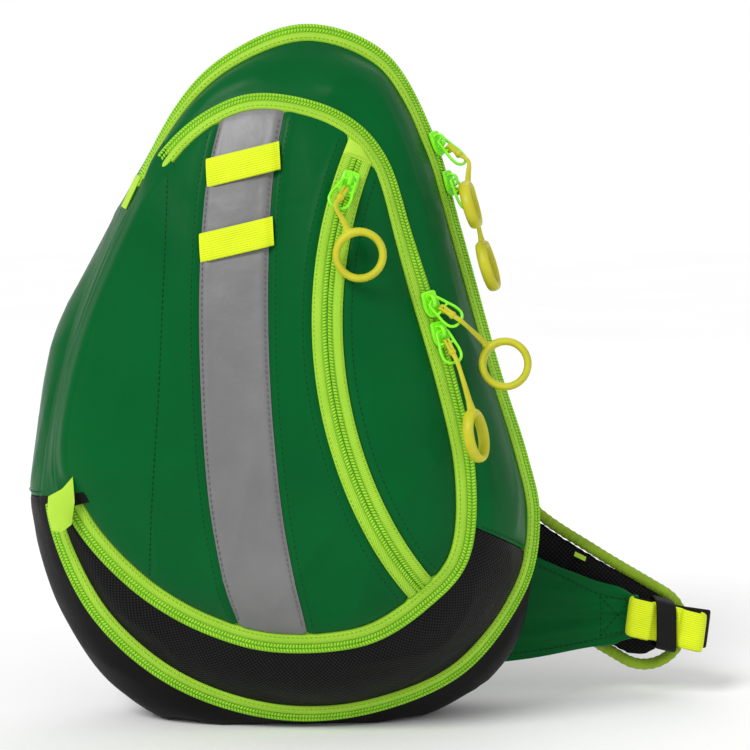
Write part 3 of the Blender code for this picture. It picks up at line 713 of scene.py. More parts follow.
@dataclass(frozen=True)
class Finish:
    """What a piece is made of: its colours, gloss and weave, with lengths in millimetres; a woven finish gets
    a painted highlight on its thread crowns and painted shade in its hollows.
    """

    name: str
    colour: str
    dark: str
    # The colour painted on the weave's crowns as a highlight
    light: str
    roughness: float
    weave: Weave = Weave.NONE
    pitch: float = 1.0
    relief: float = 0.15
    # How strong the weave's painted crown highlight and painted hollow shade are
    contrast: float = 0.5
    mottle: float = 0.35
    mottle_size: float = 60.0
    grain: float = 0.0
    grain_size: float = 4.0
    sheen: float = 0.0
    coat: float = 0.0
    coat_roughness: float = 0.3
    metallic: float = 0.0
    ior: float = 1.5
    subsurface: float = 0.0
    gloss: float = 0.18
    on_cloth: bool = True

    # How far wear takes the roughness up and down
    WEAR: ClassVar[float] = 0.07

    def waves(self, tree: bpy.types.NodeTree, spot: bpy.types.NodeSocket) -> bpy.types.NodeSocket:
        """The height of the threads, from 0 to 1, at a place given in metres."""
        turns = 2 * math.pi / (self.pitch * MM)
        parts = put(tree, "ShaderNodeSeparateXYZ", {0: spot})

        def step(operation: str, *values: float | bpy.types.NodeSocket) -> bpy.types.NodeSocket:
            """A product, sum or sine."""
            return put(tree, "ShaderNodeMath", dict(enumerate(values)), operation=operation).outputs[0]

        u, v = (step("MULTIPLY", parts.outputs[k], turns) for k in (0, 1))
        if self.weave is Weave.TWILL:
            fine = step("SINE", step("MULTIPLY", v, 2.0))
            total = step("ADD", step("SINE", step("ADD", u, v)), step("MULTIPLY", fine, 0.3))
        elif self.weave is Weave.RIBS:
            picks = step("SINE", step("ADD", u, v))
            total = step("ADD", step("SINE", v), step("MULTIPLY", picks, 0.35))
        else:
            total = step("MULTIPLY", step("SINE", u), step("SINE", v))
        edges = (-0.5, 0.7) if self.weave is Weave.MESH else (-1.0, 1.0)
        height = put(tree, "ShaderNodeMapRange", {"Value": total, "From Min": edges[0], "From Max": edges[1]})
        return height.outputs[0]

    def build(self) -> bpy.types.Material:
        """The finish as a material."""
        mat = bpy.data.materials.new(self.name)
        mat.use_nodes = True
        tree = mat.node_tree
        shader = tree.nodes["Principled BSDF"]
        where = put(tree, "ShaderNodeTexCoord").outputs["Object"]
        spot = put(tree, "ShaderNodeUVMap", uv_map=UV).outputs[0] if self.on_cloth else where
        patches = put(tree, "ShaderNodeTexNoise", {"Vector": where, "Detail": 3.0, "Roughness": 0.55,
                                                   "Scale": 1 / (self.mottle_size * MM)})
        colour = put(tree, "ShaderNodeValToRGB", {"Fac": patches.outputs["Fac"]})
        ramp = colour.color_ramp
        ramp.elements[0].position, ramp.elements[0].color = 0.5 - self.mottle / 2, linear(self.dark)
        ramp.elements[1].position, ramp.elements[1].color = 0.5 + self.mottle / 2, linear(self.colour)
        shade = colour.outputs["Color"]
        wear = put(tree, "ShaderNodeTexNoise", {"Vector": where, "Detail": 4.0,
                                                "Scale": 1 / (0.3 * self.mottle_size * MM)})
        rough = put(tree, "ShaderNodeMapRange", {"Value": wear.outputs["Fac"],
                                                 "To Min": self.roughness - self.WEAR,
                                                 "To Max": self.roughness + self.WEAR})
        normal = None
        if self.grain > 0:
            grains = put(tree, "ShaderNodeTexNoise", {"Vector": where, "Detail": 5.0,
                                                      "Scale": 1 / (self.grain_size * MM)})
            normal = put(tree, "ShaderNodeBump", {"Height": grains.outputs["Fac"], "Strength": 1.0,
                                                  "Distance": self.grain * MM}).outputs[0]
        if self.weave is not Weave.NONE:
            height = self.waves(tree, spot)
            feeds = {"Height": height, "Strength": 1.0, "Distance": self.relief * MM}
            if normal is not None:
                feeds["Normal"] = normal
            normal = put(tree, "ShaderNodeBump", feeds).outputs[0]
            # Painted highlight: the colour is mixed toward the light colour on the thread crowns
            painted_crown_highlight = put(tree, "ShaderNodeMapRange", {"Value": height, "From Min": 0.35, "From Max": 1.0,
                                                     "To Max": self.contrast})
            mix = put(tree, "ShaderNodeMix", {"Factor": painted_crown_highlight.outputs[0], 6: shade, 7: linear(self.light)},
                      data_type="RGBA")
            shade = mix.outputs[2]
            # Painted shade: the colour is darkened in the weave's hollows, where shade falls between the
            # threads
            painted_hollow_shade = put(tree, "ShaderNodeMapRange", {"Value": height, "From Max": 0.4,
                                                      "To Min": 1 - 0.6 * self.contrast, "To Max": 1.0})
            depth = put(tree, "ShaderNodeMix", {"Factor": 1.0, 6: shade, 7: painted_hollow_shade.outputs[0]},
                        data_type="RGBA", blend_type="MULTIPLY")
            shade = depth.outputs[2]
        tree.links.new(shade, shader.inputs["Base Color"])
        tree.links.new(rough.outputs[0], shader.inputs["Roughness"])
        if normal is not None:
            tree.links.new(normal, shader.inputs["Normal"])
        for key, value in {"Metallic": self.metallic, "IOR": self.ior, "Coat Weight": self.coat,
                           "Coat Roughness": self.coat_roughness, "Sheen Weight": self.sheen,
                           "Specular IOR Level": self.gloss,
                           "Subsurface Weight": self.subsurface, "Subsurface Scale": 0.004}.items():
            shader.inputs[key].default_value = value
        return mat


# Tarpaulin: polyester coated with soft vinyl, so it is smooth and glossy, with the weave faintly through it
COATED_GREEN = Finish("coated_polyester_green", "005C27", "005223", "066630", 0.32, Weave.PLAIN, 1.3, 0.018,
                      0.10, mottle=0.6, mottle_size=70, grain=0.35, grain_size=14, gloss=0.07)
# Ballistic nylon: thick yarn in a coarse basket weave, whose crowns catch the light as pale dots, painted into
# the colour as a highlight
BALLISTIC = Finish("ballistic_nylon_black", "060606", "030303", "2C2C2C", 0.5, Weave.BASKET, 2.9, 0.30, 0.7,
                   mottle_size=40, gloss=0.1)
# Plain black nylon cloth behind and round the base: fine weave, rather dull
NYLON_BLACK = Finish("nylon_cloth_black", "090909", "050505", "161616", 0.55, Weave.PLAIN, 1.4, 0.10, 0.4,
                     grain=0.3, grain_size=10, gloss=0.12)
# Lining: thin grey polyester, plain weave
LINING = Finish("polyester_lining_grey", "7E8488", "6B7074", "9AA0A4", 0.7, Weave.PLAIN, 1.4, 0.08, 0.35,
                grain=0.4, grain_size=12, sheen=0.15)
# Binding tape: polyester twill, matt, with slanting ribs
BINDING = Finish("polyester_twill_lime", "A4D834", "96CC2A", "BEE856", 0.62, Weave.TWILL, 1.7, 0.14, 0.45,
                 mottle_size=30, sheen=0.04)
# Zip tape and coil: nylon monofilament, a little glossy
COIL = Finish("nylon_coil_lime", "A2DC38", "92D02C", "B8EA50", 0.4, mottle_size=12, on_cloth=False)
ZIP_TAPE = Finish("zip_tape_lime", "88C82C", "78B822", "9CD844", 0.65, Weave.RIBS, 0.9, 0.08, 0.4,
                  mottle_size=20)
# Sliders and wire pulls: zinc casting and steel wire with a glossy baked enamel
ENAMEL = Finish("enamelled_zinc_lime", "92F81C", "80F016", "A8FF40", 0.26, mottle_size=9, coat=0.25,
                coat_roughness=0.12, gloss=0.4, on_cloth=False)
# Pullers: moulded silicone rubber, satin, lets a little light through
SILICONE = Finish("silicone_rubber_olive", "C8C62A", "BAB822", "DCDC60", 0.4, mottle_size=14, grain=0.05,
                  grain_size=1.2, subsurface=0.06, gloss=0.3, on_cloth=False)
# Webbing: flat woven polyester with fine ribs along it
WEBBING = Finish("polyester_webbing_yellow", "DFF212", "D4E80A", "EEFA48", 0.6, Weave.RIBS, 1.5, 0.14, 0.35,
                 mottle_size=20, sheen=0.03)
WEBBING_BLACK = Finish("polyester_webbing_black", "0B0B0B", "070707", "1E1E1E", 0.6, Weave.RIBS, 1.5, 0.16,
                       0.4, mottle_size=20)
# Reflective tape: glass beads on grey cloth, a soft metallic grey that wrinkles
REFLECTIVE = Finish("reflective_tape_grey", "848484", "6E6E6E", "969696", 0.45, Weave.PLAIN, 1.3, 0.03, 0.12,
                    mottle=0.7, mottle_size=60, grain=1.3, grain_size=22, metallic=0.3)
# Zip garage and tabs: soft lime cloth
PATCH = Finish("soft_cloth_pale_lime", "B4E040", "A8D438", "CCEE60", 0.6, Weave.PLAIN, 1.1, 0.05, 0.25,
               mottle_size=20, sheen=0.05)
# Spacer mesh: knitted black polyester over foam, with small open holes, drawn as dents with painted shade in
# them
SPACER = Finish("spacer_mesh_black", "121212", "0B0B0B", "2C2C2C", 0.75, Weave.MESH, 3.2, 0.5, 0.6,
                mottle_size=30, gloss=0.1)
# Strap binding: rolled olive-lime twill
STRAP_BINDING = Finish("rolled_twill_olive", "93B824", "7C9E1A", "B0D040", 0.6, Weave.TWILL, 1.6, 0.14, 0.45,
                       mottle_size=18, sheen=0.04)
# Threads: bonded nylon in dark green, lime and grey
THREAD_DARK = Finish("nylon_thread_dark", "003818", "002C14", "0A5028", 0.5, mottle_size=8, on_cloth=False)
THREAD_LIME = Finish("nylon_thread_lime", "7FC41E", "6AAE12", "A0E040", 0.5, mottle_size=8, on_cloth=False)
THREAD_GREY = Finish("nylon_thread_grey", "707070", "626262", "808080", 0.5, mottle_size=8, on_cloth=False)
# Adjuster: moulded acetal with a fine spark grain
ACETAL = Finish("acetal_black", "191919", "121212", "2A2A2A", 0.38, mottle_size=10, grain=0.03,
                grain_size=0.6, on_cloth=False)
# Stiffener: white polyethylene sheet, satin
STIFFENER = Finish("polyethylene_sheet_white", "E2E2DC", "D6D6D0", "F0F0EA", 0.45, mottle_size=40,
                   on_cloth=False)
# Floor of the set: matt pale paint
FLOOR = Finish("matt_paint_pale", "FEFEFE", "FCFCFC", "FFFFFF", 0.9, mottle_size=400, gloss=0.0,
               on_cloth=False)


class Palette:
    """Each finish as a material, built when it is first asked for."""

    def __init__(self) -> None:
        """Starts empty."""
        self.made: dict[str, bpy.types.Material] = {}

    def __call__(self, finish: Finish) -> bpy.types.Material:
        """The material of a finish."""
        if finish.name not in self.made:
            self.made[finish.name] = finish.build()
        return self.made[finish.name]


PAINT = Palette()


# ---------------------------------------------------------------- pieces on bodies

def on(piece: bpy.types.Object, body: str, slot: str, *nodes: str) -> bpy.types.Object:
    """Puts a finished piece on a body, in place of some CAD nodes.

    Args:
        piece: the finished mesh.
        body: the CAD body that it moves with.
        slot: the record's material slot; not used.
        nodes: the CAD nodes that it stands for.

    Returns:
        The piece.
    """
    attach(piece, body)
    if nodes:
        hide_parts(*nodes)
    LOG.info("%s on %s, %d faces", piece.name, body, len(piece.data.polygons))
    return piece


def stitches(name: str, lines: Sequence[tuple[Points, Points]], body: str, slot: str, thread: Finish,
             spacing: float = 4.0) -> bpy.types.Object:
    """Rows of lockstitch on a surface.

    Args:
        name: the piece's name.
        lines: each row's points and the way out of the cloth there, in pack millimetres.
        body: the CAD body.
        slot: the record's material slot.
        thread: the thread's finish.
        spacing: from one stitch to the next, in millimetres.

    Returns:
        The piece.
    """
    row = ROWS.lay(name, lines, spacing, (spacing * 0.72, 0.75, 0.6), 0.0, thread)
    return on(row, body, slot)


def remeshed(obj: bpy.types.Object, voxel: float) -> bpy.types.Object:
    """The object with a modifier that gives it even faces, voxel millimetres wide."""
    remesh = obj.modifiers.new("remesh", "REMESH")
    remesh.mode, remesh.voxel_size, remesh.use_smooth_shade = "VOXEL", voxel * MM, True
    return obj


def softened(obj: bpy.types.Object, rounds: int) -> bpy.types.Object:
    """The object with a modifier that smooths it so many times."""
    soft = obj.modifiers.new("soft", "SMOOTH")
    soft.factor, soft.iterations = 0.5, rounds
    return obj


def inflate(obj: bpy.types.Object, cap: float, voxel: float, pressure: float = 4.0) -> bpy.types.Object:
    """Fills a padded piece with Blender's Cloth, as air under pressure.

    Args:
        obj: a closed mesh, in metres.
        cap: how far a point may move, in millimetres.
        voxel: the size of its remeshed faces, in millimetres.
        pressure: the pressure inside.

    Returns: The piece, filled.
    """
    applied(remeshed(obj, voxel))
    rest = np.array([v.co[:] for v in obj.data.vertices])
    cloth = obj.modifiers.new("cloth", "CLOTH")
    cloth.settings.use_pressure = True
    cloth.settings.uniform_pressure_force = pressure
    cloth.settings.effector_weights.gravity = 0.0
    scene = bpy.context.scene
    for step in range(1, 21):
        scene.frame_set(step)
    seen = obj.evaluated_get(bpy.context.evaluated_depsgraph_get())
    moved = np.array([v.co[:] for v in seen.data.vertices]) - rest
    obj.modifiers.clear()
    scene.frame_set(1)
    length = np.linalg.norm(moved, axis=1, keepdims=True)
    rest = rest + moved * np.minimum(1.0, cap * MM / np.maximum(length, 1e-9))
    obj.data.vertices.foreach_set("co", rest.ravel())
    softened(obj, 12)
    fine = obj.modifiers.new("fine", "SUBSURF")
    fine.levels = fine.render_levels = 1
    applied(obj)
    obj.data.shade_smooth()
    return obj


def flat_uv(obj: bpy.types.Object) -> bpy.types.Object:
    """Lays the cloth's place straight onto the mesh's own x and z, in metres."""
    mesh = obj.data
    layer = mesh.uv_layers.get(UV) or mesh.uv_layers.new(name=UV)
    co = np.empty(len(mesh.vertices) * 3)
    mesh.vertices.foreach_get("co", co)
    corner = np.empty(len(mesh.loops), dtype=np.int32)
    mesh.loops.foreach_get("vertex_index", corner)
    layer.data.foreach_set("uv", co.reshape(-1, 3)[corner][:, [0, 2]].ravel())
    return obj


# ---------------------------------------------------------------- side walls and long zips

def edge_distance(grid: Points) -> tuple[Points, Points]:
    """How far a grid's points are, in millimetres, from its first or last row, and from such a column."""
    uv = grid_uv(grid) / MM
    u, v = uv[..., 0], uv[..., 1]
    return np.minimum(u, u[-1:] - u), np.minimum(v, v[:, -1:] - v)


@dataclass
class SideWalls:
    """The two side walls, of the bag behind the main zip and of the door before it, in green and black."""

    cloth: float = 2.0
    across: int = 22
    step: float = 3.0
    split: float = 0.12
    fold: float = 1.7
    pucker: float = 0.35
    forward: float = -40.0
    soft: Folds = field(default_factory=lambda: Folds(3, 95.0, (1.0, 1.0, 1.6)))
    crease: Folds = field(default_factory=lambda: Folds(8, 120.0, (1.0, 0.5, 1.0), ridged=True))

    def rear(self, angle: float) -> Points:
        """The bag's wall at an angle, from the main zip to the back panel."""
        spot = main_frame(angle)
        start = spot.at((SHAPE.chain_half + GAP) * zip_share(angle, SHAPE.main_start)) + (0.0, 0.5, 0.0)
        full = float(BULGE.reach(angle))
        near = 0.4 * math.hypot(start[0] - AXIS_X, start[2] - AXIS_Z) + 0.6 * full
        back = full - 9.0
        steps = [(near, -16.0), (full, 2.0), (full, 26.0), (back, SHAPE.back_depth - GAP)]
        down = -math.sin(math.radians(angle))
        limit = AXIS_Z / down if down > 0.01 else 1e9
        line = spline([start] + [polar(angle, min(r, limit), d) for r, d in steps], self.across)
        line[:, 2] = np.maximum(line[:, 2], 0.0)
        return line

    def door(self, angle: float) -> Points:
        """The door's wall at an angle, from the pocket zip to the main zip."""
        inner, outer = pocket_frame(angle), main_frame(angle)
        share = zip_share(angle, SHAPE.pocket_start)
        near = inner.at((SHAPE.chain_half + GAP) * share + 0.4 * (1 - share)) + (0.0, 0.8 * (1 - share), 0.0)
        share = zip_share(angle, SHAPE.main_start)
        far = outer.at(-(SHAPE.chain_half + SHAPE.binding + GAP) * share - 0.8 * (1 - share))
        out = unit(inner.out + outer.out)
        long = float(np.linalg.norm(far - near))
        bulge = [near * 0.75 + far * 0.25 + out * 0.09 * long, near * 0.4 + far * 0.6 + out * 0.1 * long]
        return spline([near, *bulge, far], self.across)

    def lift(self, grid: Points) -> Points:
        """How far the cloth stands out at each point: soft folds, creases, and puckers along its seams."""
        ends, sides = edge_distance(grid)
        calm = ease(sides / 14.0) * ease(ends / 10.0) * ease((grid[..., 2] - 2.0) / 25.0)
        along = grid_uv(grid)[..., 0] / MM
        ruck = np.sin(along / 7.0 + 1.5 * np.sin(along / 37.0)) * (0.5 + 0.5 * np.sin(along / 53.0))
        value = self.fold * (0.8 * self.soft(grid) + 0.5 * np.maximum(self.crease(grid), 0.0)) * calm
        value += self.pucker * ruck * np.exp(-((sides - 6.0) / 7.0) ** 2) * ease(grid[..., 2] / 20.0)
        return value - 0.7 * np.exp(-(ends / 2.2) ** 2) * ease(grid[..., 2] / 10.0)

    def panel(self, name: str, start: float, end: float, profile: Callable[[float], Points], finish: Finish,
              body: str, slot: str) -> None:
        """One colour of one wall.

        Args:
            name: the piece's name and its CAD node's.
            start: the angle where it starts.
            end: the angle where it ends, clockwise.
            profile: the wall's line at an angle.
            finish: its outer cloth.
            body: the CAD body.
            slot: the record's slot.
        """
        grid = np.array([profile(a) for a in stations(start, end, self.step)])
        outside = outward(grid, self.forward if body == "main_door" else 0.0)
        piece = shell(f"{name}_cloth", grid, self.cloth, outside, [finish, LINING], None, self.lift(grid))
        on(piece, body, slot, name)

    def build(self) -> None:
        """Builds both walls in both colours, with a line of stitches along each side of the colour seams."""
        left, right = SHAPE.colour_left, SHAPE.colour_right
        for wall, profile, body in (("rear", self.rear, "bag"), ("door", self.door, "main_door")):
            self.panel(f"{wall}_gusset_upper", 360 + left - self.split, right + self.split, profile,
                       COATED_GREEN, body, "coated_green")
            self.panel(f"{wall}_gusset_base", right - self.split, left + self.split, profile,
                       BALLISTIC if wall == "door" else NYLON_BLACK, body, "ballistic_black")
            lines = []
            for angle in (right + 0.9, left - 0.9 + 360):
                line = profile(angle)[2:-2]
                away = (0, self.forward if wall == "door" else 0.0, 0)
                out = unit(line - np.array([AXIS_X, 0.0, AXIS_Z]) + away)
                lines.append((line + out * 0.25, out))
            stitches(f"{wall}_gusset_stitches", lines, body, "coated_green", THREAD_DARK, 3.4)


@dataclass
class HingeCloth:
    """The cloth that runs on across the hinges at the left side, fixed in place over them."""

    walls: SideWalls = field(default_factory=SideWalls)
    reach: tuple[float, ...] = (9.0, 6.5, 4.0, 2.0)
    thick: float = 0.8

    def near(self, line: Points) -> Points:
        """The places along a line at the strip's distances from its first point, from the farthest in."""
        length = run_lengths(line)
        return np.stack([np.interp(self.reach, length, line[:, k]) for k in range(3)], axis=1)

    def strip(self, name: str, start: float, sections: Callable[[float], tuple[Points, Points]]) -> None:
        """One strip along a hinge, green from its zip's start to the colour seam and black to the zip's end.

        Args:
            name: the piece's name.
            start: the angle where its zip starts.
            sections: the two surfaces' lines at an angle, each from the hinge on.
        """
        seam, end = SHAPE.colour_left + 360.0, SHAPE.zip_end + 361.0
        lift = np.interp(np.linspace(-1, 1, 13), (-1, -0.8, -0.5, 0, 0.5, 0.8, 1),
                         (-0.7, 0.25, 0.6, 0.75, 0.6, 0.25, -0.7))
        for suffix, first, last, finish, slot in (("cloth", seam, start - 1.5, COATED_GREEN, "coated_green"),
                                                  ("base_cloth", end, seam, NYLON_BLACK, "ballistic_black")):
            grid = []
            for angle in stations(first, last, 1.5):
                one, two = sections(angle)
                grid.append(resample(np.vstack([self.near(one), self.near(two)[::-1]]), 13))
            grid = np.array(grid)
            away = outward(grid, self.walls.forward)
            piece = shell(f"{name}_{suffix}", grid, self.thick, away, [finish, LINING], None,
                          lift + np.zeros(grid.shape[:2]))
            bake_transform(piece)

    def lid_line(self, angle: float) -> Points:
        """The lid's face from its edge inward."""
        reach = float(LID.reach(angle)) - np.linspace(0.2, 14.0, 20)
        return LidSurface.at(ring_xz(np.full(20, angle), reach))[0]

    def build(self) -> None:
        """Builds both strips."""
        self.strip("main_hinge", SHAPE.main_start, lambda a: (self.walls.rear(a), self.walls.door(a)[::-1]))
        self.strip("front_hinge", SHAPE.pocket_start, lambda a: (self.walls.door(a), self.lid_line(a)))


class Half(Enum):
    """The two halves of a chain."""

    INNER = -1
    OUTER = 1


@dataclass
class LongZip:
    """A long curved zip: a twill binding, and two rows of coil on their tapes."""

    name: str
    start: float
    frames: Frames
    bodies: tuple[str, str]
    nodes: tuple[str, str, str]
    step: float = 3.0
    tooth: tuple[float, float, float] = (1.75, 3.5, 1.7)
    pitch: float = 2.1

    def spots(self) -> list[ZipFrame]:
        """The zip's frames from its start to its end."""
        return [self.frames(a) for a in stations(self.start, SHAPE.zip_end, self.step)]

    def row(self, across: float, lift: float) -> tuple[Points, Points]:
        """A line along the zip and the ways out of it."""
        spots = self.spots()
        return np.array([s.at(across, lift) for s in spots]), np.array([s.out for s in spots])

    def band(self, name: str, section: Sequence[tuple[float, float]], finish: Finish) -> bpy.types.Object:
        """A strip along the zip.

        Args:
            name: the piece's name.
            section: its section as pairs of millimetres across the face and out of it.
            finish: its finish.

        Returns:
            The strip.
        """
        rings = np.array([[spot.at(a, b) for a, b in section] for spot in self.spots()])
        rings[..., 2] = np.maximum(rings[..., 2], 0.0)
        return sweep(name, rings, finish)

    def teeth(self, half: Half) -> bpy.types.Object:
        """One row of coil."""
        row = self.row(half.value * self.tooth[0], 0.75)
        return ROWS.lay(f"{self.name}_{half.name.lower()}_coil", [row], self.pitch, self.tooth,
                        COIL_SLANT * half.value, COIL)

    def tail(self, roll: Sequence[tuple[float, float]]) -> None:
        """The binding's end, which narrows and tucks in before the zip's start."""
        long = 9.0
        rings = []
        for angle in np.linspace(self.start - 0.3, self.start + long, 24):
            share = (self.start + long - angle) / (long + 0.3)
            spot = self.frames(angle)
            low = spot.at(-4.2 - 3.0 * share, 0.7 + 0.4 * share)
            rings.append([low + (spot.at(x, y) - low) * (0.25 + 0.75 * share) for x, y in roll])
        on(sweep(f"{self.name}_binding_tail", np.array(rings), BINDING), self.bodies[0], "lime_binding")

    def build(self) -> None:
        """Builds the binding and both halves."""
        half, wide = SHAPE.chain_half, SHAPE.binding
        a, b = -half - wide, -half - 0.1
        roll = [(a - 2.2, -2.6), (a - 2.2, -2.1), (a - 0.2, -1.2), (a - 0.15, 0.4), (a + 0.9, 1.35),
                (a + 2.6, 1.65), (b - 2.6, 1.65), (b - 0.9, 1.3), (b + 0.1, 0.4), (b, -0.9), (a, -2.6)]
        binding = self.band(f"{self.name}_twill_binding", roll, BINDING)
        on(binding, self.bodies[0], "lime_binding", self.nodes[0])
        for side, body, node in ((Half.INNER, self.bodies[0], self.nodes[1]),
                                 (Half.OUTER, self.bodies[1], self.nodes[2])):
            near, far = sorted((side.value * 0.12, side.value * (half + 0.2)))
            tape = self.band(f"{self.name}_{side.name.lower()}_tape",
                             [(near, -0.8), (near, 0.35), (far, 0.55), (far, -0.8)], ZIP_TAPE)
            on(join(tape.name, [tape, self.teeth(side)]), body, "lime_chain", node)
        if self.start == SHAPE.pocket_start:
            self.tail(roll)
        stitches(f"{self.name}_binding_stitches", [self.row(a + 1.5, 1.62)], self.bodies[0], "lime_binding",
                 THREAD_LIME, 3.0)


# ---------------------------------------------------------------- the front lid

class LidSurface:
    """The lid's outer face, with its folds."""

    soft = Folds(21, 80.0, (1.0, 1.0, 2.6))
    crease = Folds(5, 90.0, (1.2, 1.0, 2.2), ridged=True)
    small = Folds(33, 34.0, (1.0, 1.0, 1.5))

    @classmethod
    def lift(cls, x: Points, z: Points) -> Points:
        """How far the folds stand out."""
        spots = np.stack([x, np.zeros_like(x), z], axis=-1)
        calm = ease((1 - lid_share(x, z)) / 0.16)
        low = ease((300.0 - z) / 160.0)
        creases = 1.6 * low * np.maximum(cls.crease(spots), 0)
        value = 1.7 * cls.soft(spots) + creases + 0.22 * low * cls.small(spots)
        beside = np.abs(np.hypot(x - SHAPE.quick_x, z - SHAPE.quick_z) - SHAPE.quick_r)
        return value * calm * (0.2 + 0.8 * ease((beside - 6.0) / 20.0))

    @classmethod
    def at(cls, xz: Points, lift: float = 0.0) -> tuple[Points, Points]:
        """Points on the face and the ways out of it.

        Args:
            xz: places in x and z.
            lift: how far out of the face they stand.

        Returns:
            The pack points and the ways out.
        """
        x, z = xz[..., 0], xz[..., 1]
        e = 0.6
        dx = (lid_depth(x + e, z) - lid_depth(x - e, z)) / (2 * e)
        dz = (lid_depth(x, z + e) - lid_depth(x, z - e)) / (2 * e)
        out = unit(np.stack([np.clip(dx, -3, 3), -np.ones_like(dx), np.clip(dz, -3, 3)], axis=-1))
        base = np.stack([x, lid_depth(x, z), z], axis=-1)
        return base + out * (cls.lift(x, z) + lift)[..., None], out


def inside_lid(curve: Points, count: int) -> Points:
    """The part of a curve in x and z that lies on the lid, as count points from its top down."""
    dense = resample(curve, 900)
    x, z = dense.T
    return resample(dense[np.hypot(x - AXIS_X, z - AXIS_Z) <= LID.reach(bearing(x, z)) - RIM_INSET], count)


def rim(start: Points, end: Points, count: int, clockwise: bool) -> Points:
    """The lid's edge between two places on it, in x and z."""
    a, b = (math.degrees(math.atan2(p[1] - AXIS_Z, p[0] - AXIS_X)) for p in (start, end))
    if clockwise and b > a:
        b -= 360
    if not clockwise and b < a:
        b += 360
    angles = np.linspace(a, b, count)
    arc = resample(ring_xz(angles, LID.reach(angles) - RIM_INSET), count)
    arc[0], arc[-1] = start, end
    return arc


def rim_spot(angle: float) -> Points:
    """The place on the lid's edge at an angle."""
    return polar(angle, float(LID.reach(angle)) - RIM_INSET, 0.0)[[0, 2]]


def patch(left: Points, right: Points, top: Points, bottom: Points) -> Points:
    """A grid of places between four edges.

    Args:
        left: the left edge from the top down.
        right: the right edge from the top down, with as many points.
        top: the top edge from the left.
        bottom: the bottom edge from the left, with as many points.

    Returns:
        The grid, whose rows run from the top down.
    """
    v = np.linspace(0, 1, len(left))[:, None, None]
    u = (run_lengths(top) / run_lengths(top)[-1])[None, :, None]
    across = left[:, None] * (1 - u) + right[:, None] * u
    down = top[None] * (1 - v) + bottom[None] * v
    corners = ((1 - u) * (1 - v) * top[0] + u * (1 - v) * top[-1]
               + (1 - u) * v * bottom[0] + u * v * bottom[-1])
    return across + down - corners


def between(left: Points, right: Points, count: int) -> Points:
    """The grid between two lines down the lid, whose ends are places on its rim."""
    return patch(left, right, rim(left[0], right[0], count, True), rim(left[-1], right[-1], count, False))


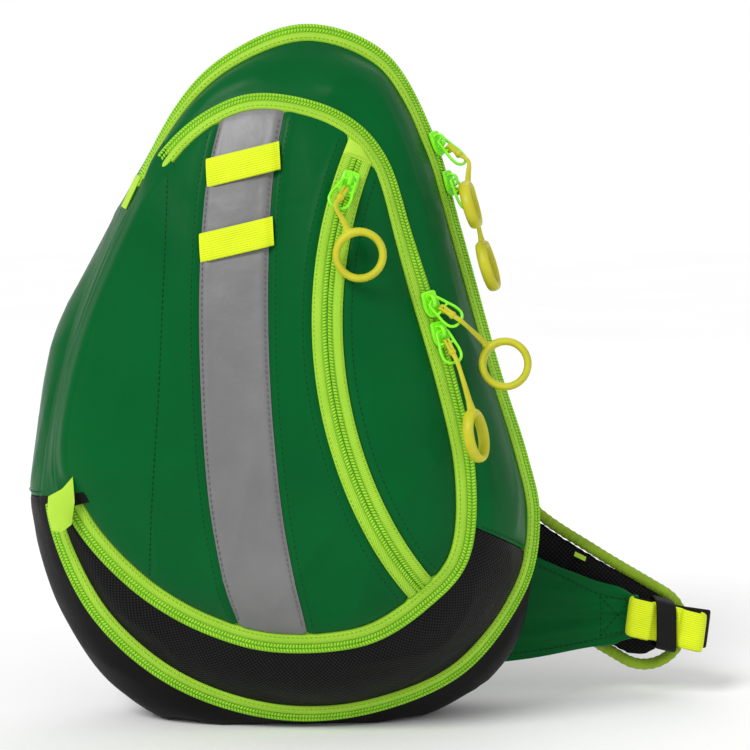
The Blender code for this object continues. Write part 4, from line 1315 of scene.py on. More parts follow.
@dataclass
class FrontLid:
    """The domed front of the pack: green panels, the grey strip, webbing loops and the quick zip."""

    cloth: float = 2.0
    down: int = 150
    seam_depth: float = 1.0
    seam_width: float = 2.0
    half: float = GAP / 2

    def arc(self, radius: float, high: float = 440.0, low: float = 40.0) -> Points:
        """An arc with the quick zip's centre, from the top down, cut square at both heights."""
        first, last = (math.pi - math.asin((z - SHAPE.quick_z) / SHAPE.quick_r) for z in (high, low))
        turn = np.linspace(first, last, 240)
        x, z = SHAPE.quick_x + radius * np.cos(turn), SHAPE.quick_z + radius * np.sin(turn)
        return np.stack([x, z], axis=1)

    def cloth_panel(self, name: str, grid: Points, finish: Finish, slot: str, seams: tuple[bool, bool],
                    proud: float) -> None:
        """One sewn panel of the lid.

        Args:
            name: its CAD node.
            grid: its places in x and z.
            finish: its cloth.
            slot: the record's slot.
            seams: whether its left and right edges are seams that sink in.
            proud: how far it stands in front of its neighbours.
        """
        points, out = LidSurface.at(grid)
        across = np.linalg.norm(np.diff(grid, axis=1), axis=2)
        run = np.concatenate([np.zeros((len(grid), 1)), np.cumsum(across, axis=1)], axis=1)
        lift = np.full(grid.shape[:2], proud)
        for seam, distance in zip(seams, (run, run[:, -1:] - run)):
            if seam:
                lift -= self.seam_depth * np.exp(-(distance / self.seam_width) ** 2)
                lift += 0.35 * np.exp(-((distance - 5.0) / 2.6) ** 2)
        piece = shell(f"{name}_cloth", points, self.cloth, out, [finish, LINING], grid * MM, lift)
        on(piece, "front_lid", slot, name)

    def panels(self) -> None:
        """The green panels and the grey strip."""
        h, n = self.half, self.down
        strip_left, strip_right = spline(SHAPE.strip_left, 200), spline(SHAPE.strip_right, 200)
        zip_left = self.arc(SHAPE.quick_r + SHAPE.quick_half + h)
        zip_right = self.arc(SHAPE.quick_r - SHAPE.quick_half - h)
        seams = (strip_left - (h, 0), strip_left + (h, 0), strip_right - (h, 0), strip_right + (h, 0),
                 zip_left, zip_right)
        edges = [inside_lid(seam, n) for seam in seams]
        side = rim(rim_spot(138.0), rim_spot(-142.0), n, False)
        far_side = rim(rim_spot(40.0), rim_spot(-28.0), n, True)
        green, grey = (COATED_GREEN, "coated_green"), (REFLECTIVE, "reflective_grey")
        for name, left, right, count, cloth, sewn, proud in (
                ("lid_left_panel", side, edges[0], 60, green, (False, True), 0.0),
                ("reflective_strip", edges[1], edges[2], 36, grey, (True, True), 0.15),
                ("lid_centre_panel", edges[3], edges[4], 48, green, (True, True), 0.0),
                ("lid_right_panel", edges[5], far_side, 40, green, (True, False), 0.0)):
            self.cloth_panel(name, between(left, right, count), *cloth, sewn, proud)

    def seam_stitches(self) -> None:
        """The topstitching beside the strip, the quick zip and down the left panel."""
        rows = []
        for curve, shift in ((SHAPE.strip_left, -4.6), (SHAPE.strip_right, 4.6)):
            rows.append(inside_lid(spline(curve, 200) + (shift, 0), 160)[3:-3])
        rows.append(inside_lid(spline(SHAPE.side_seam, 200), 120))
        for radius in (SHAPE.quick_r + SHAPE.quick_half + 5.5, SHAPE.quick_r - SHAPE.quick_half - 5.5):
            rows.append(inside_lid(self.arc(radius), 160)[3:-3])
        lines = [LidSurface.at(row, 0.22) for row in rows]
        stitches("lid_topstitching", lines, "front_lid", "coated_green", THREAD_DARK, 3.8)
        inner = [LidSurface.at(inside_lid(spline(c, 200) + (s, 0), 160)[3:-3], 0.35)
                 for c, s in ((SHAPE.strip_left, 2.0), (SHAPE.strip_right, -2.0))]
        stitches("strip_edge_stitching", inner, "front_lid", "reflective_grey", THREAD_GREY, 3.8)

    def quick_zip(self) -> None:
        """The curved zip on the lid: two twill bands, two tapes and two rows of coil."""
        r, wide, h = SHAPE.quick_r, SHAPE.quick_half, self.half
        for sign, node in ((1, "quick_zip_left_half"), (-1, "quick_zip_right_half")):
            lines = [inside_lid(self.arc(r + sign * d, SHAPE.quick_top), 150) for d in (wide - h, 3.3, 0.15)]
            bands = []
            for (one, two), finish, rise in ((lines[0:2], BINDING, 0.9), (lines[1:3], ZIP_TAPE, 0.1)):
                u = np.linspace(0, 1, 9)[None, :, None]
                grid = one[:, None] * (1 - u) + two[:, None] * u
                points, out = LidSurface.at(grid)
                bow = rise * (1 - np.abs(2 * u[..., 0] - 1) ** 3) + np.zeros(grid.shape[:2])
                wide_here = np.linalg.norm(one[60] - two[60])
                uv = np.stack([run_lengths(one)[:, None] * MM + 0 * bow,
                               u[..., 0] * wide_here * MM + 0 * bow], -1)
                bands.append(shell(f"{node}_band", points, 1.2, out, [finish], uv, bow))
            line, out = LidSurface.at(inside_lid(self.arc(r + sign * 1.7, SHAPE.quick_top - 1), 150), 0.7)
            bands.append(ROWS.lay(f"{node}_coil", [(line, out)], 2.0, (1.65, 3.3, 1.6),
                                  COIL_SLANT * sign, COIL))
            on(join(f"{node}_twill_and_coil", bands), "front_lid", "lime_binding", node)
            row = inside_lid(self.arc(r + sign * (wide - 1.6), SHAPE.quick_top - 2), 140)
            stitches(f"{node}_stitches", [LidSurface.at(row, 0.8)], "front_lid", "lime_binding",
                     THREAD_LIME, 3.0)

    def garage(self) -> None:
        """The puffed patch that covers the quick zip's top."""
        r, wide, h = SHAPE.quick_r, SHAPE.quick_half, self.half
        left = inside_lid(self.arc(r + wide - h, 440.0, SHAPE.quick_top + GAP), 24)
        bottom = inside_lid(np.linspace(left[-1], self.arc(r - wide + h, SHAPE.quick_top + GAP)[0], 60), 24)
        edge = rim(left[0], bottom[-1], 47, True)
        grid = patch(left, edge[23:], edge[:24], bottom)
        points, out = LidSurface.at(grid)
        side = np.linspace(-1, 1, 24)[None, :]
        puff = 1.9 * (1 - np.abs(side) ** 4) * ease(np.linspace(0, 1, 24)[:, None] * 6)
        puff = puff * ease((1 - np.linspace(0, 1, 24)[:, None]) * 5)
        piece = shell("garage_patch_cloth", points, 1.4, out, [PATCH], grid * MM, puff)
        on(piece, "front_lid", "patch_pale_lime", "garage_patch")

    def loops(self) -> None:
        """The two bright webbing loops across the strip."""
        for name, high, shift in (("upper", 379.0, 2.0), ("lower", 331.0, -2.5)):
            xs = np.linspace(-61.5, -14.5, 40) + shift
            zs = high - 5.75 + 11.5 * np.linspace(0, 1, 40)
            ends = np.minimum(np.linspace(0, 1, 40), np.linspace(1, 0, 40))
            path = np.stack([xs, lid_depth(xs, zs) - 1.2 - 1.7 * ease(ends / 0.12), zs], axis=1)
            slope = (lid_depth(xs, zs + 9) - lid_depth(xs, zs - 9)) / 18
            across = unit(np.stack([np.full(40, -0.05), slope, np.ones(40)], axis=1))
            strap = sweep(f"webbing_loop_{name}_strap", strap_rings(path, across, 18.7, 1.6, 0.3), WEBBING)
            on(strap, "front_lid", "webbing_yellow", f"webbing_loop_{name}")

    def lower_tab(self) -> None:
        """The folded cloth tab over the lower left end of the zips."""
        corners = (-165.5, 161.0), (-149.0, 174.5), (-163.0, 138.5), (-150.0, 143.0)
        left = resample(np.array([corners[0], (-166.0, 150.0), corners[2]]), 16)
        right = resample(np.array([corners[1], (-147.8, 158.0), corners[3]]), 16)
        top = resample(np.array([corners[0], (-156.0, 166.5), corners[1]]), 14)
        bottom = resample(np.array([corners[2], (-156.5, 138.0), corners[3]]), 14)
        grid = patch(left, right, top, bottom)
        s, t = np.linspace(-1, 1, 14)[None, :], np.linspace(-1, 1, 16)[:, None]
        depth = -52.6 - 0.25 * (grid[..., 0] + 160) - 1.2 * (1 - s ** 2) + 0.5 * t ** 2
        points = np.stack([grid[..., 0], depth, grid[..., 1]], axis=-1)
        piece = shell("lower_zip_tab_cloth", points, 1.4, FORWARD, [PATCH], grid * MM)
        on(piece, "front_lid", "patch_pale_lime", "lower_zip_tab")

    def pocket_bag(self) -> None:
        """The quick pocket's inner bag behind the lid."""
        left = spline([(-12, 362), (-14, 240), (-8, 120)], 60)
        right = spline([(60, 350), (84, 240), (84, 120)], 60)
        u = np.linspace(0, 1, 40)[:, None]
        grid = patch(left, right, left[0] * (1 - u) + right[0] * u, left[-1] * (1 - u) + right[-1] * u)
        points, out = LidSurface.at(grid)
        s, t = np.linspace(-1, 1, 40)[None, :], np.linspace(-1, 1, 60)[:, None]
        slack = 0.6 * LidSurface.soft(points * 1.7) * (1 - s ** 4) * (1 - t ** 4)
        piece = shell("quick_pocket_bag_cloth", points - out * 5.6, 1.0, out, [LINING], grid * MM, slack)
        on(piece, "front_lid", "lining_grey", "quick_pocket_bag")

    def build(self) -> None:
        """Builds the lid."""
        self.panels()
        self.seam_stitches()
        self.quick_zip()
        self.garage()
        self.loops()
        self.lower_tab()
        self.pocket_bag()


# ---------------------------------------------------------------- sliders and pullers

class Track:
    """Where a slider sits: its place, the way down along the chain and the way out of the cloth."""

    def __init__(self, spot: Vector, ahead: Vector, behind: Vector, out: Vector) -> None:
        """Takes the slider's place, places ahead and behind along the chain, and a way out of the cloth."""
        self.spot = spot
        self.along = (ahead - behind).normalized()
        self.out = (out - self.along * out.dot(self.along)).normalized()
        self.across = self.along.cross(self.out).normalized()

    def turn(self) -> Matrix:
        """The turn from a slider's own axes to its seat."""
        return Matrix((self.across, self.along, self.out)).transposed().to_4x4()

    def way(self, yaw: float, tilt: float) -> Vector:
        """A direction down the chain, turned sideways by yaw and lifted by tilt, in degrees."""
        y, t = math.radians(yaw), math.radians(tilt)
        flat = self.along * math.cos(y) - self.across * math.sin(y)
        return flat * math.cos(t) + self.out * math.sin(t)


def seam_track(angle: float, spot_frame: Frames) -> Track:
    """A slider's seat on a long zip."""
    spot, lifted = (place(*spot_frame(angle).at(0.0, lift)) for lift in (0.0, 1.0))
    ahead, behind = (place(*spot_frame(a).point) for a in (angle - 2, angle + 2))
    return Track(spot, ahead, behind, lifted - spot)


def quick_track(z: float) -> Track:
    """The slider's seat on the quick zip at a height."""
    def at(height: float, aside: float = 0.0) -> Vector:
        """A place on the zip's line, or beside it."""
        x = SHAPE.quick_x - math.sqrt(SHAPE.quick_r ** 2 - (height - SHAPE.quick_z) ** 2) + aside
        return place(x, float(lid_depth(x, height)), height)
    side = at(z, 6.0) - at(z, -6.0)
    return Track(at(z), at(z - 8), at(z + 8), (at(z - 8) - at(z + 8)).cross(side))


@dataclass
class SliderAndPull:
    """A zip's slider, the wire loop in its bail and the silicone puller on that."""

    name: str
    track: Track
    yaw: float
    tilt: float
    ring_at: tuple[float, float, float]
    normal: tuple[float, float, float]
    squeeze: float
    bail_lift: float = 6.4
    bail_back: float = 1.2
    loop_long: float = 22.0
    bar_at: float = 8.2
    wire: float = 1.0
    ring_radius: float = 14.8
    ring_tube: float = 2.75

    def __post_init__(self) -> None:
        """Works out where the pull hangs."""
        t = self.track
        self.hinge = t.spot + (t.out * self.bail_lift - t.along * self.bail_back) * MM
        self.way = t.way(self.yaw, self.tilt)
        self.axis = self.way.cross(t.out).normalized()
        self.front = self.axis.cross(self.way)
        self.bar = self.at(0.0, self.bar_at)

    def at(self, aside: float, along: float, lift: float = 0.0) -> Vector:
        """A place on the pull, in metres."""
        return self.hinge + (self.axis * aside + self.way * along + self.front * lift) * MM

    def cast(self, name: str, parts: Sequence[bpy.types.Object], voxel: float,
             rounds: int) -> bpy.types.Object:
        """Several overlapping solids as one smooth casting or moulding.

        Args:
            name: the piece's name.
            parts: the solids.
            voxel: the size of the new faces, in millimetres.
            rounds: how often it is smoothed.

        Returns:
            The piece.
        """
        obj = join(name, parts)
        mat = obj.data.materials[0]
        applied(softened(remeshed(obj, voxel), rounds))
        obj.data.materials.clear()
        obj.data.materials.append(mat)
        obj.data.shade_smooth()
        return obj

    def slider(self) -> None:
        """The slider: a shouldered crown plate with rounded edges, a bridge and a domed bail."""
        side = [(-4.6, -8.0), (-5.2, -5.0), (-5.7, 0.0), (-5.3, 4.5), (-3.4, 8.0)]
        mirrored = [(-x, y) for x, y in side[::-1]]
        outline = spline([*side, (0.0, 9.1), *mirrored, (0.0, -8.6)], 64, True)
        layers = ((2.1, 0.9), (2.4, 0.98), (3.2, 1.0), (3.7, 0.95), (3.9, 0.86), (3.55, 0.7), (3.5, 0.3))
        plate = sweep("plate", np.array([[(x * s * 1.06 * MM, y * s * MM, z * MM) for x, y in outline]
                                         for z, s in layers]), ENAMEL, metres=True)
        ridge = spline([(-4.9, 3.0), (-5.1, 6.0), (-3.9, 8.3), (-1.4, 9.2), (1.3, 8.5), (2.7, 6.2),
                        (2.9, 3.0)], 30)
        arch = np.array([(0.0, y, z) for y, z in ridge]) * MM
        radii = (0.95 + 0.25 * np.abs(np.linspace(-1, 1, 30)) ** 3) * MM
        bail = sweep("bail", tube_rings(arch, radii, 14, flat=(1.0, 1.5), up=RIGHTWARD), ENAMEL, metres=True)
        parts = [plate, bail]
        for x in (-1, 1):
            ear = [(x * 3.8, -6.2, 3.0), (x * 4.1, -3.0, 3.5), (x * 4.1, 1.0, 3.5), (x * 3.5, 4.8, 3.0)]
            rings = tube_rings(resample(np.array(ear) * MM, 12), 0.85 * MM, 10)
            parts.append(sweep("ear", rings, ENAMEL, metres=True))
        obj = self.cast(f"{self.name}_slider_casting", parts, 0.3, 3)
        obj.data.transform(Matrix.Translation(self.track.spot) @ self.track.turn())
        on(obj, f"{self.name}_slider", "slider_lime", f"{self.name}_slider")

    def loop(self) -> None:
        """The bent wire loop with the bar that the puller wraps."""
        outline = [(3.3, 0.0), (4.5, 2.6), (5.6, 8.2), (6.7, 14.0), (6.1, 19.0), (2.8, 21.7)]
        outline += [(-x, y) for x, y in outline[::-1]]
        ring = np.array([self.at(x, y)[:] for x, y in spline(outline, 96, True)])
        wire = sweep("wire", tube_rings(ring, self.wire * MM, 12, True), ENAMEL, closed=True, metres=True)
        ends = np.array([self.at(x, self.bar_at)[:] for x in np.linspace(-5.6, 5.6, 8)])
        bar = sweep("bar", tube_rings(ends, self.wire * 0.9 * MM, 12), ENAMEL, metres=True)
        on(join(f"{self.name}_wire_loop", [wire, bar]), f"{self.name}_pull_loop", "slider_lime",
           f"{self.name}_pull_loop")

    def puller(self) -> None:
        """The moulded puller: a doubled cord round the bar, a collar, a tapering neck and a finger ring."""
        middle, normal = place(*self.ring_at), Vector(self.normal).normalized()
        collar, over = self.at(0.0, self.bar_at + 7.4, 2.2), self.at(0.0, self.loop_long + 1.5, 3.4)
        toward = over - middle
        toward = (toward - normal * toward.dot(normal)).normalized()
        side = normal.cross(toward).normalized()
        turn = np.linspace(0, 2 * math.pi, 72, endpoint=False)
        ring = np.array([(middle + (toward * math.cos(t) + side * math.sin(t) * self.squeeze)
                          * self.ring_radius * MM)[:] for t in turn])
        thick = self.ring_tube * (1.0 + 0.16 * np.exp(-(np.minimum(turn, 2 * math.pi - turn) / 0.5) ** 2))
        rings = tube_rings(ring, thick * MM, 16, True, (0.92, 1.42), np.array(normal[:]))
        parts = [sweep("ring", rings, SILICONE, closed=True, metres=True)]
        rim_point = middle + toward * (self.ring_radius - 0.3) * MM
        bend = (over + rim_point) / 2 + self.front * 0.6 * MM
        neck = spline([collar[:], over[:], bend[:], rim_point[:]], 26)
        taper = np.interp(np.linspace(0, 1, 26), (0, 0.35, 0.8, 1), (1.5, 1.3, 1.8, 2.8))
        rings = tube_rings(neck, taper * MM, 14, flat=(1.2, 0.85), up=np.array(self.front[:]))
        parts.append(sweep("neck", rings, SILICONE, metres=True))
        button = np.array([(collar + (over - collar).normalized() * s * MM)[:]
                           for s in (-1.7, -1.4, -0.6, 0.6, 1.4, 1.7)])
        rings = tube_rings(button, np.array((1.6, 2.2, 2.6, 2.6, 2.2, 1.6)) * MM, 16)
        parts.append(sweep("collar", rings, SILICONE, metres=True))
        first = (collar - self.bar).normalized()
        back = first.cross(self.axis).normalized()
        for aside in (-1.25, 1.25):
            wrap = [self.bar + (first * math.cos(t) + back * math.sin(t)) * 2.0 * MM
                    for t in np.linspace(-0.45 * math.pi, 1.45 * math.pi, 16)]
            route = [collar + back * -0.6 * MM] + wrap[::-1] + [collar + back * 0.6 * MM]
            route = spline([(p + self.axis * aside * MM)[:] for p in route], 44)
            parts.append(sweep("cord", tube_rings(route, 0.95 * MM, 10), SILICONE, metres=True))
        obj = self.cast(f"{self.name}_silicone_puller", parts, 0.4, 4)
        on(obj, f"{self.name}_ring_pull", "silicone_olive", f"{self.name}_ring_pull")

    def build(self) -> None:
        """Builds all three."""
        self.slider()
        self.loop()
        self.puller()


def sliders() -> list[SliderAndPull]:
    """Every slider in its seat."""
    quick_ring = (37.5, float(lid_depth(37.5, 322.0)) - 12.0, 322.0)
    return [SliderAndPull(*seat) for seat in (
        ("main_zip_upper", seam_track(64.5, main_frame), 12, 22, (113, -60, 352), (0.9, -0.2, 0.3), 0.8),
        ("main_zip_lower", seam_track(59.0, main_frame), 0, 14, (126, -46, 311), (0.9, -0.25, 0.3), 0.8),
        ("front_zip_upper", seam_track(46.5, pocket_frame), 32, 14, (134, -76, 249), (-0.15, -1.0, 0.1), 1.0),
        ("front_zip_lower", seam_track(37.5, pocket_frame), 0, 14, (112, -105, 206), (0.85, -0.45, 0.2), 0.8),
        ("quick_zip", quick_track(366.0), -10, 14, quick_ring, (0.0, -1.0, 0.0), 1.0))]


# ---------------------------------------------------------------- wing, strap and webbing

@dataclass
class HipWing:
    """The green wing at the lower side, its box stitch, and the webbing, roll and keeper at its end."""

    front: float = SHAPE.back_depth + SHAPE.back_thick + GAP
    thick: float = 3.8
    slope: float = 0.24

    def face(self, xz: Points, lift: float = 0.0) -> tuple[Points, Points]:
        """Points on the wing's front and the ways out of it."""
        x, z = xz[..., 0], xz[..., 1]
        fan = (z - 58.0) / (8.0 + 0.32 * np.maximum(250.0 - x, 10.0))
        folds = 1.0 * np.sin(fan * 7.0 + x / 40.0) + 0.5 * np.sin(fan * 13.0 - x / 25.0 + 1.0)
        depth = self.front + 1.0 - folds * ease((x - 120.0) / 40.0) * ease((252.0 - x) / 30.0) - lift
        return np.stack([x, depth, z], axis=-1), np.broadcast_to(FORWARD, (*x.shape, 3))

    def cloth(self) -> None:
        """The wing itself, with its edges turned in."""
        top = spline([(100, 116), (140, 107), (165, 101), (184, 93), (210, 80), (242, 72)], 110)
        bottom = spline([(100, 22), (139, 25), (184, 31), (215, 37), (245, 43)], 110)
        v = np.linspace(0, 1, 44)[:, None]
        grid = patch(top[0] * (1 - v) + bottom[0] * v, top[-1] * (1 - v) + bottom[-1] * v, top, bottom)
        points, out = self.face(grid)
        ends, _ = edge_distance(points)
        turned = 1.3 * (1 - ease(ends / 3.0)) + 0.25 * np.exp(-((ends - 6.0) / 1.4) ** 2)
        piece = shell("hip_wing_cloth", points, self.thick, out, [COATED_GREEN], grid * MM, -turned)
        on(piece, "bag", "coated_green", "hip_wing")
        rows = []
        for edge, shift in ((top, -5.0), (bottom, 5.0)):
            rows.append(self.face(edge[6:-4] + (0, shift), 0.1))
        corners = np.array([(215, 71), (236.5, 70), (237.5, 48), (215, 44.5)], dtype=float)
        for i, k in ((0, 1), (1, 2), (2, 3), (3, 0), (0, 2), (1, 3)):
            line = corners[i] + (corners[k] - corners[i]) * np.linspace(0, 1, 12)[:, None]
            rows.append(self.face(line, 0.15))
        stitches("hip_wing_stitches", rows, "bag", "coated_green", THREAD_DARK, 3.6)

    def webbing(self) -> None:
        """The black webbing behind and the bright rolled webbing in front."""
        across = np.array([0.13, 0.0, 1.0])
        path = spline([(236, 51.4, 57.5), (272, 52.4, 50), (290, 53.0, 46.5), (293, 56.5, 46),
                       (289, 60.0, 46), (262, 60.4, 50)], 70)
        piece = sweep("hip_webbing_strap", strap_rings(path, across, 27.0, 1.7), WEBBING_BLACK)
        on(piece, "bag", "ballistic_black", "hip_webbing")
        roll = [(236, 47), (234, 43), (236.5, 38.5), (247, 38), (250.5, 43), (260, 44.5), (269.5, 43),
                (272.5, 39), (282, 38), (286.5, 41.5), (285, 47)]
        roll = [(x, d - 3.5, 59.5 - self.slope * (x - 234)) for x, d in roll]
        piece = sweep("webbing_roll_strap", strap_rings(spline(roll, 120), across, 27.2, 2.8), WEBBING)
        on(piece, "bag", "webbing_yellow", "webbing_roll")

    def keeper(self) -> None:
        """The black elastic keeper round the roll."""
        turn = np.linspace(0, 2 * math.pi, 72, endpoint=False)
        power = 2 / 5.0
        depth = 49.7 + 13.4 * np.sign(np.cos(turn)) * np.abs(np.cos(turn)) ** power
        height = -1.5 + 17.0 * np.sign(np.sin(turn)) * np.abs(np.sin(turn)) ** power
        path = np.stack([np.full(72, 260.2), depth, 54.6 - self.slope * 7.2 + height], axis=1)
        path = resample(np.vstack([path, path[:1]]), 73)[:-1]
        around = np.vstack([path[-2:], path, path[:2]])
        rings = strap_rings(around, np.array([1.0, 0.0, -self.slope]), 14.6, 1.7)[2:-2]
        piece = sweep("elastic_keeper_band", rings, WEBBING_BLACK, closed=True)
        on(piece, "bag", "ballistic_black", "elastic_keeper")

    def build(self) -> None:
        """Builds the wing and its webbing."""
        self.cloth()
        self.webbing()
        self.keeper()


@dataclass
class ShoulderStrap:
    """The padded strap that runs from the top of the back to the end of the wing."""

    wide: float = 28.0
    thick: float = 8.0
    roll: float = 3.9
    ladder_depth: float = 80.5

    def line(self, count: int) -> tuple[Points, Points, Points]:
        """The strap's middle, its way along and its way across."""
        path = spline([(5, 50.2, 398), (12, 66, 360), (35, 80, 290), (70, 86, 215), (110, 84, 155),
                       (154, 77, 107), (200, 71.5, 76), (250, 70, 46)], count)
        run = unit(np.gradient(path, axis=0))
        side = unit(np.stack([run[:, 2], np.zeros(count), -run[:, 0]], axis=1))
        return path, run, side

    def half(self, share: Points) -> Points:
        """Half the strap's width along it."""
        return self.wide - 6.0 * np.maximum(0.0, 1 - share * 19 / 4.0)

    def pad(self) -> None:
        """The foam pad in spacer mesh, filled by simulation."""
        path, run, side = self.line(90)
        half = self.half(np.linspace(0, 1, 90)) - 1.2
        turn = np.linspace(0, 2 * math.pi, 28, endpoint=False)
        across = np.sign(np.cos(turn)) * np.abs(np.cos(turn)) ** 0.5
        deep = np.sign(np.sin(turn)) * np.abs(np.sin(turn)) ** 0.6 * (self.thick / 2 - 0.8)
        rings = [p + s * (h * across)[:, None] + BACKWARD * deep[:, None]
                 for p, s, h in zip(path, side, half)]
        tip = [(3.0, 0.99), (8.0, 0.9), (13.0, 0.72), (17.0, 0.5), (19.5, 0.25)]
        for far, share in tip:
            rings.append(path[-1] + run[-1] * far + side[-1] * (half[-1] * share * across)[:, None]
                         + BACKWARD * deep[:, None] * min(1.0, share + 0.3))
        piece = inflate(sweep("shoulder_strap_foam_pad", np.array(rings), SPACER), 1.5, 3.0)
        flat_uv(piece)
        on(piece, "bag", "spacer_mesh_black", "shoulder_strap_pad")

    def edge(self) -> None:
        """The rolled binding round the pad, puckered by its stitches."""
        path, run, side = self.line(160)
        half = self.half(np.linspace(0, 1, 160))[:, None]
        arc = [path[-1] + side[-1] * self.wide * math.cos(t) + run[-1] * self.wide * math.sin(t)
               for t in np.linspace(0, math.pi, 30)[1:-1]]
        route = np.vstack([path + side * half, arc, (path - side * half)[::-1]])
        length = run_lengths(route)
        route = resample(route, int(length[-1] / 1.5))
        along = run_lengths(route)
        pucker = 1 + 0.06 * np.sin(along / 5.0 * 2 * math.pi + 1.2 * np.sin(along / 23.0))
        rings = tube_rings(route, self.roll * pucker, 14, flat=(1.0, 1.1), up=BACKWARD)
        piece = sweep("shoulder_strap_rolled_binding", rings, STRAP_BINDING)
        on(piece, "bag", "lime_binding", "shoulder_strap_binding")
        out = np.broadcast_to(FORWARD, route.shape)
        inward = unit(np.cross(np.gradient(route, axis=0), (0.0, 1.0, 0.0)))
        line = route + inward * 3.1 + out * 2.4
        stitches("shoulder_strap_edge_line", [(line[4:-4], out[4:-4])], "bag", "lime_binding",
                 THREAD_LIME, 2.4)

    def tag(self) -> None:
        """The small size tag sewn to the strap's edge."""
        corner = np.array([(199, 101), (207, 97), (206, 94), (198, 98)], dtype=float)
        v, u = np.linspace(0, 1, 5)[:, None], np.linspace(0, 1, 12)[:, None]
        grid = patch(corner[0] * (1 - v) + corner[3] * v, corner[1] * (1 - v) + corner[2] * v,
                     corner[0] * (1 - u) + corner[1] * u, corner[3] * (1 - u) + corner[2] * u)
        bow = 0.2 * np.sin(np.linspace(0, math.pi, 12))[None, :] + np.zeros(grid.shape[:2])
        points = np.stack([grid[..., 0], 62.4 - bow, grid[..., 1]], axis=-1)
        piece = shell("strap_size_tag_fold", points, 0.9, FORWARD, [PATCH], grid * MM)
        on(piece, "bag", "lime_binding", "strap_size_tag")

    def adjuster(self) -> None:
        """The moulded ladder lock behind the strap's end."""
        corner = np.array([(255.6, 62.2), (270.4, 58.8), (268.8, 34.8), (253.8, 38.2)], dtype=float)
        path = []
        for i in range(4):
            path += [corner[i] + (corner[(i + 1) % 4] - corner[i]) * t for t in (0.08, 0.36, 0.64, 0.92)]
        path = spline([(x, self.ladder_depth, z) for x, z in path], 72, True)
        parts = [sweep("frame", tube_rings(path, 1.6, 12, True, (1.0, 0.92), BACKWARD), ACETAL, closed=True)]
        for t in (0.36, 0.64):
            a, b = corner[0] + (corner[3] - corner[0]) * t, corner[1] + (corner[2] - corner[1]) * t
            bar = [(x, self.ladder_depth, z) for x, z in (a + (b - a) * s for s in np.linspace(0, 1, 8))]
            parts.append(sweep("bar", tube_rings(np.array(bar), 1.3, 12), ACETAL))
        on(join("strap_adjuster_ladder", parts), "strap_adjuster", "buckle_black", "strap_adjuster")

    def anchors(self) -> None:
        """The cloth hood over the strap's top end, and the webbing that ties its lower end to the wing."""
        x, z = np.meshgrid(np.linspace(-28.0, 36.0, 40), np.linspace(424.0, 386.0, 26))
        flare = 1 - 0.25 * ease((z - 396.0) / 28.0)
        side = np.abs((x - 4.0) / 32.0)
        rise = 11.6 * ease((424.0 - z) / 30.0) * (1 - side ** 6)
        rise += 0.9 * np.sin(x / 9.0) * ease((418.0 - z) / 30.0)
        grid = np.stack([4.0 + (x - 4.0) * flare, 45.6 + rise, z], axis=-1)
        hood = shell("strap_top_hood", grid, 1.4, BACKWARD, [NYLON_BLACK], grid[..., [0, 2]] * MM)
        on(hood, "bag", "ballistic_black")
        across = np.array([0.13, 0.0, 1.0])
        for name, wide, path in (
                ("strap_end_webbing", 25.0,
                 [(268, 60.8, 49), (258, 62.8, 50), (246, 66.0, 51.5), (232, 67.0, 55)]),
                ("adjuster_webbing", 18.0,
                 [(228, 74.6, 54), (244, 76.2, 51), (252, 79.2, 49.6), (255.2, 83.0, 49.2),
                  (257.6, 80.6, 49), (254.6, 78.0, 49.2), (246, 77.4, 50.6)])):
            piece = sweep(name, strap_rings(spline(path, 50), across, wide, 1.4), WEBBING_BLACK)
            on(piece, "bag", "ballistic_black")

    def build(self) -> None:
        """Builds the strap."""
        self.anchors()
        self.pad()
        self.edge()
        self.tag()
        self.adjuster()


# ---------------------------------------------------------------- back and inside

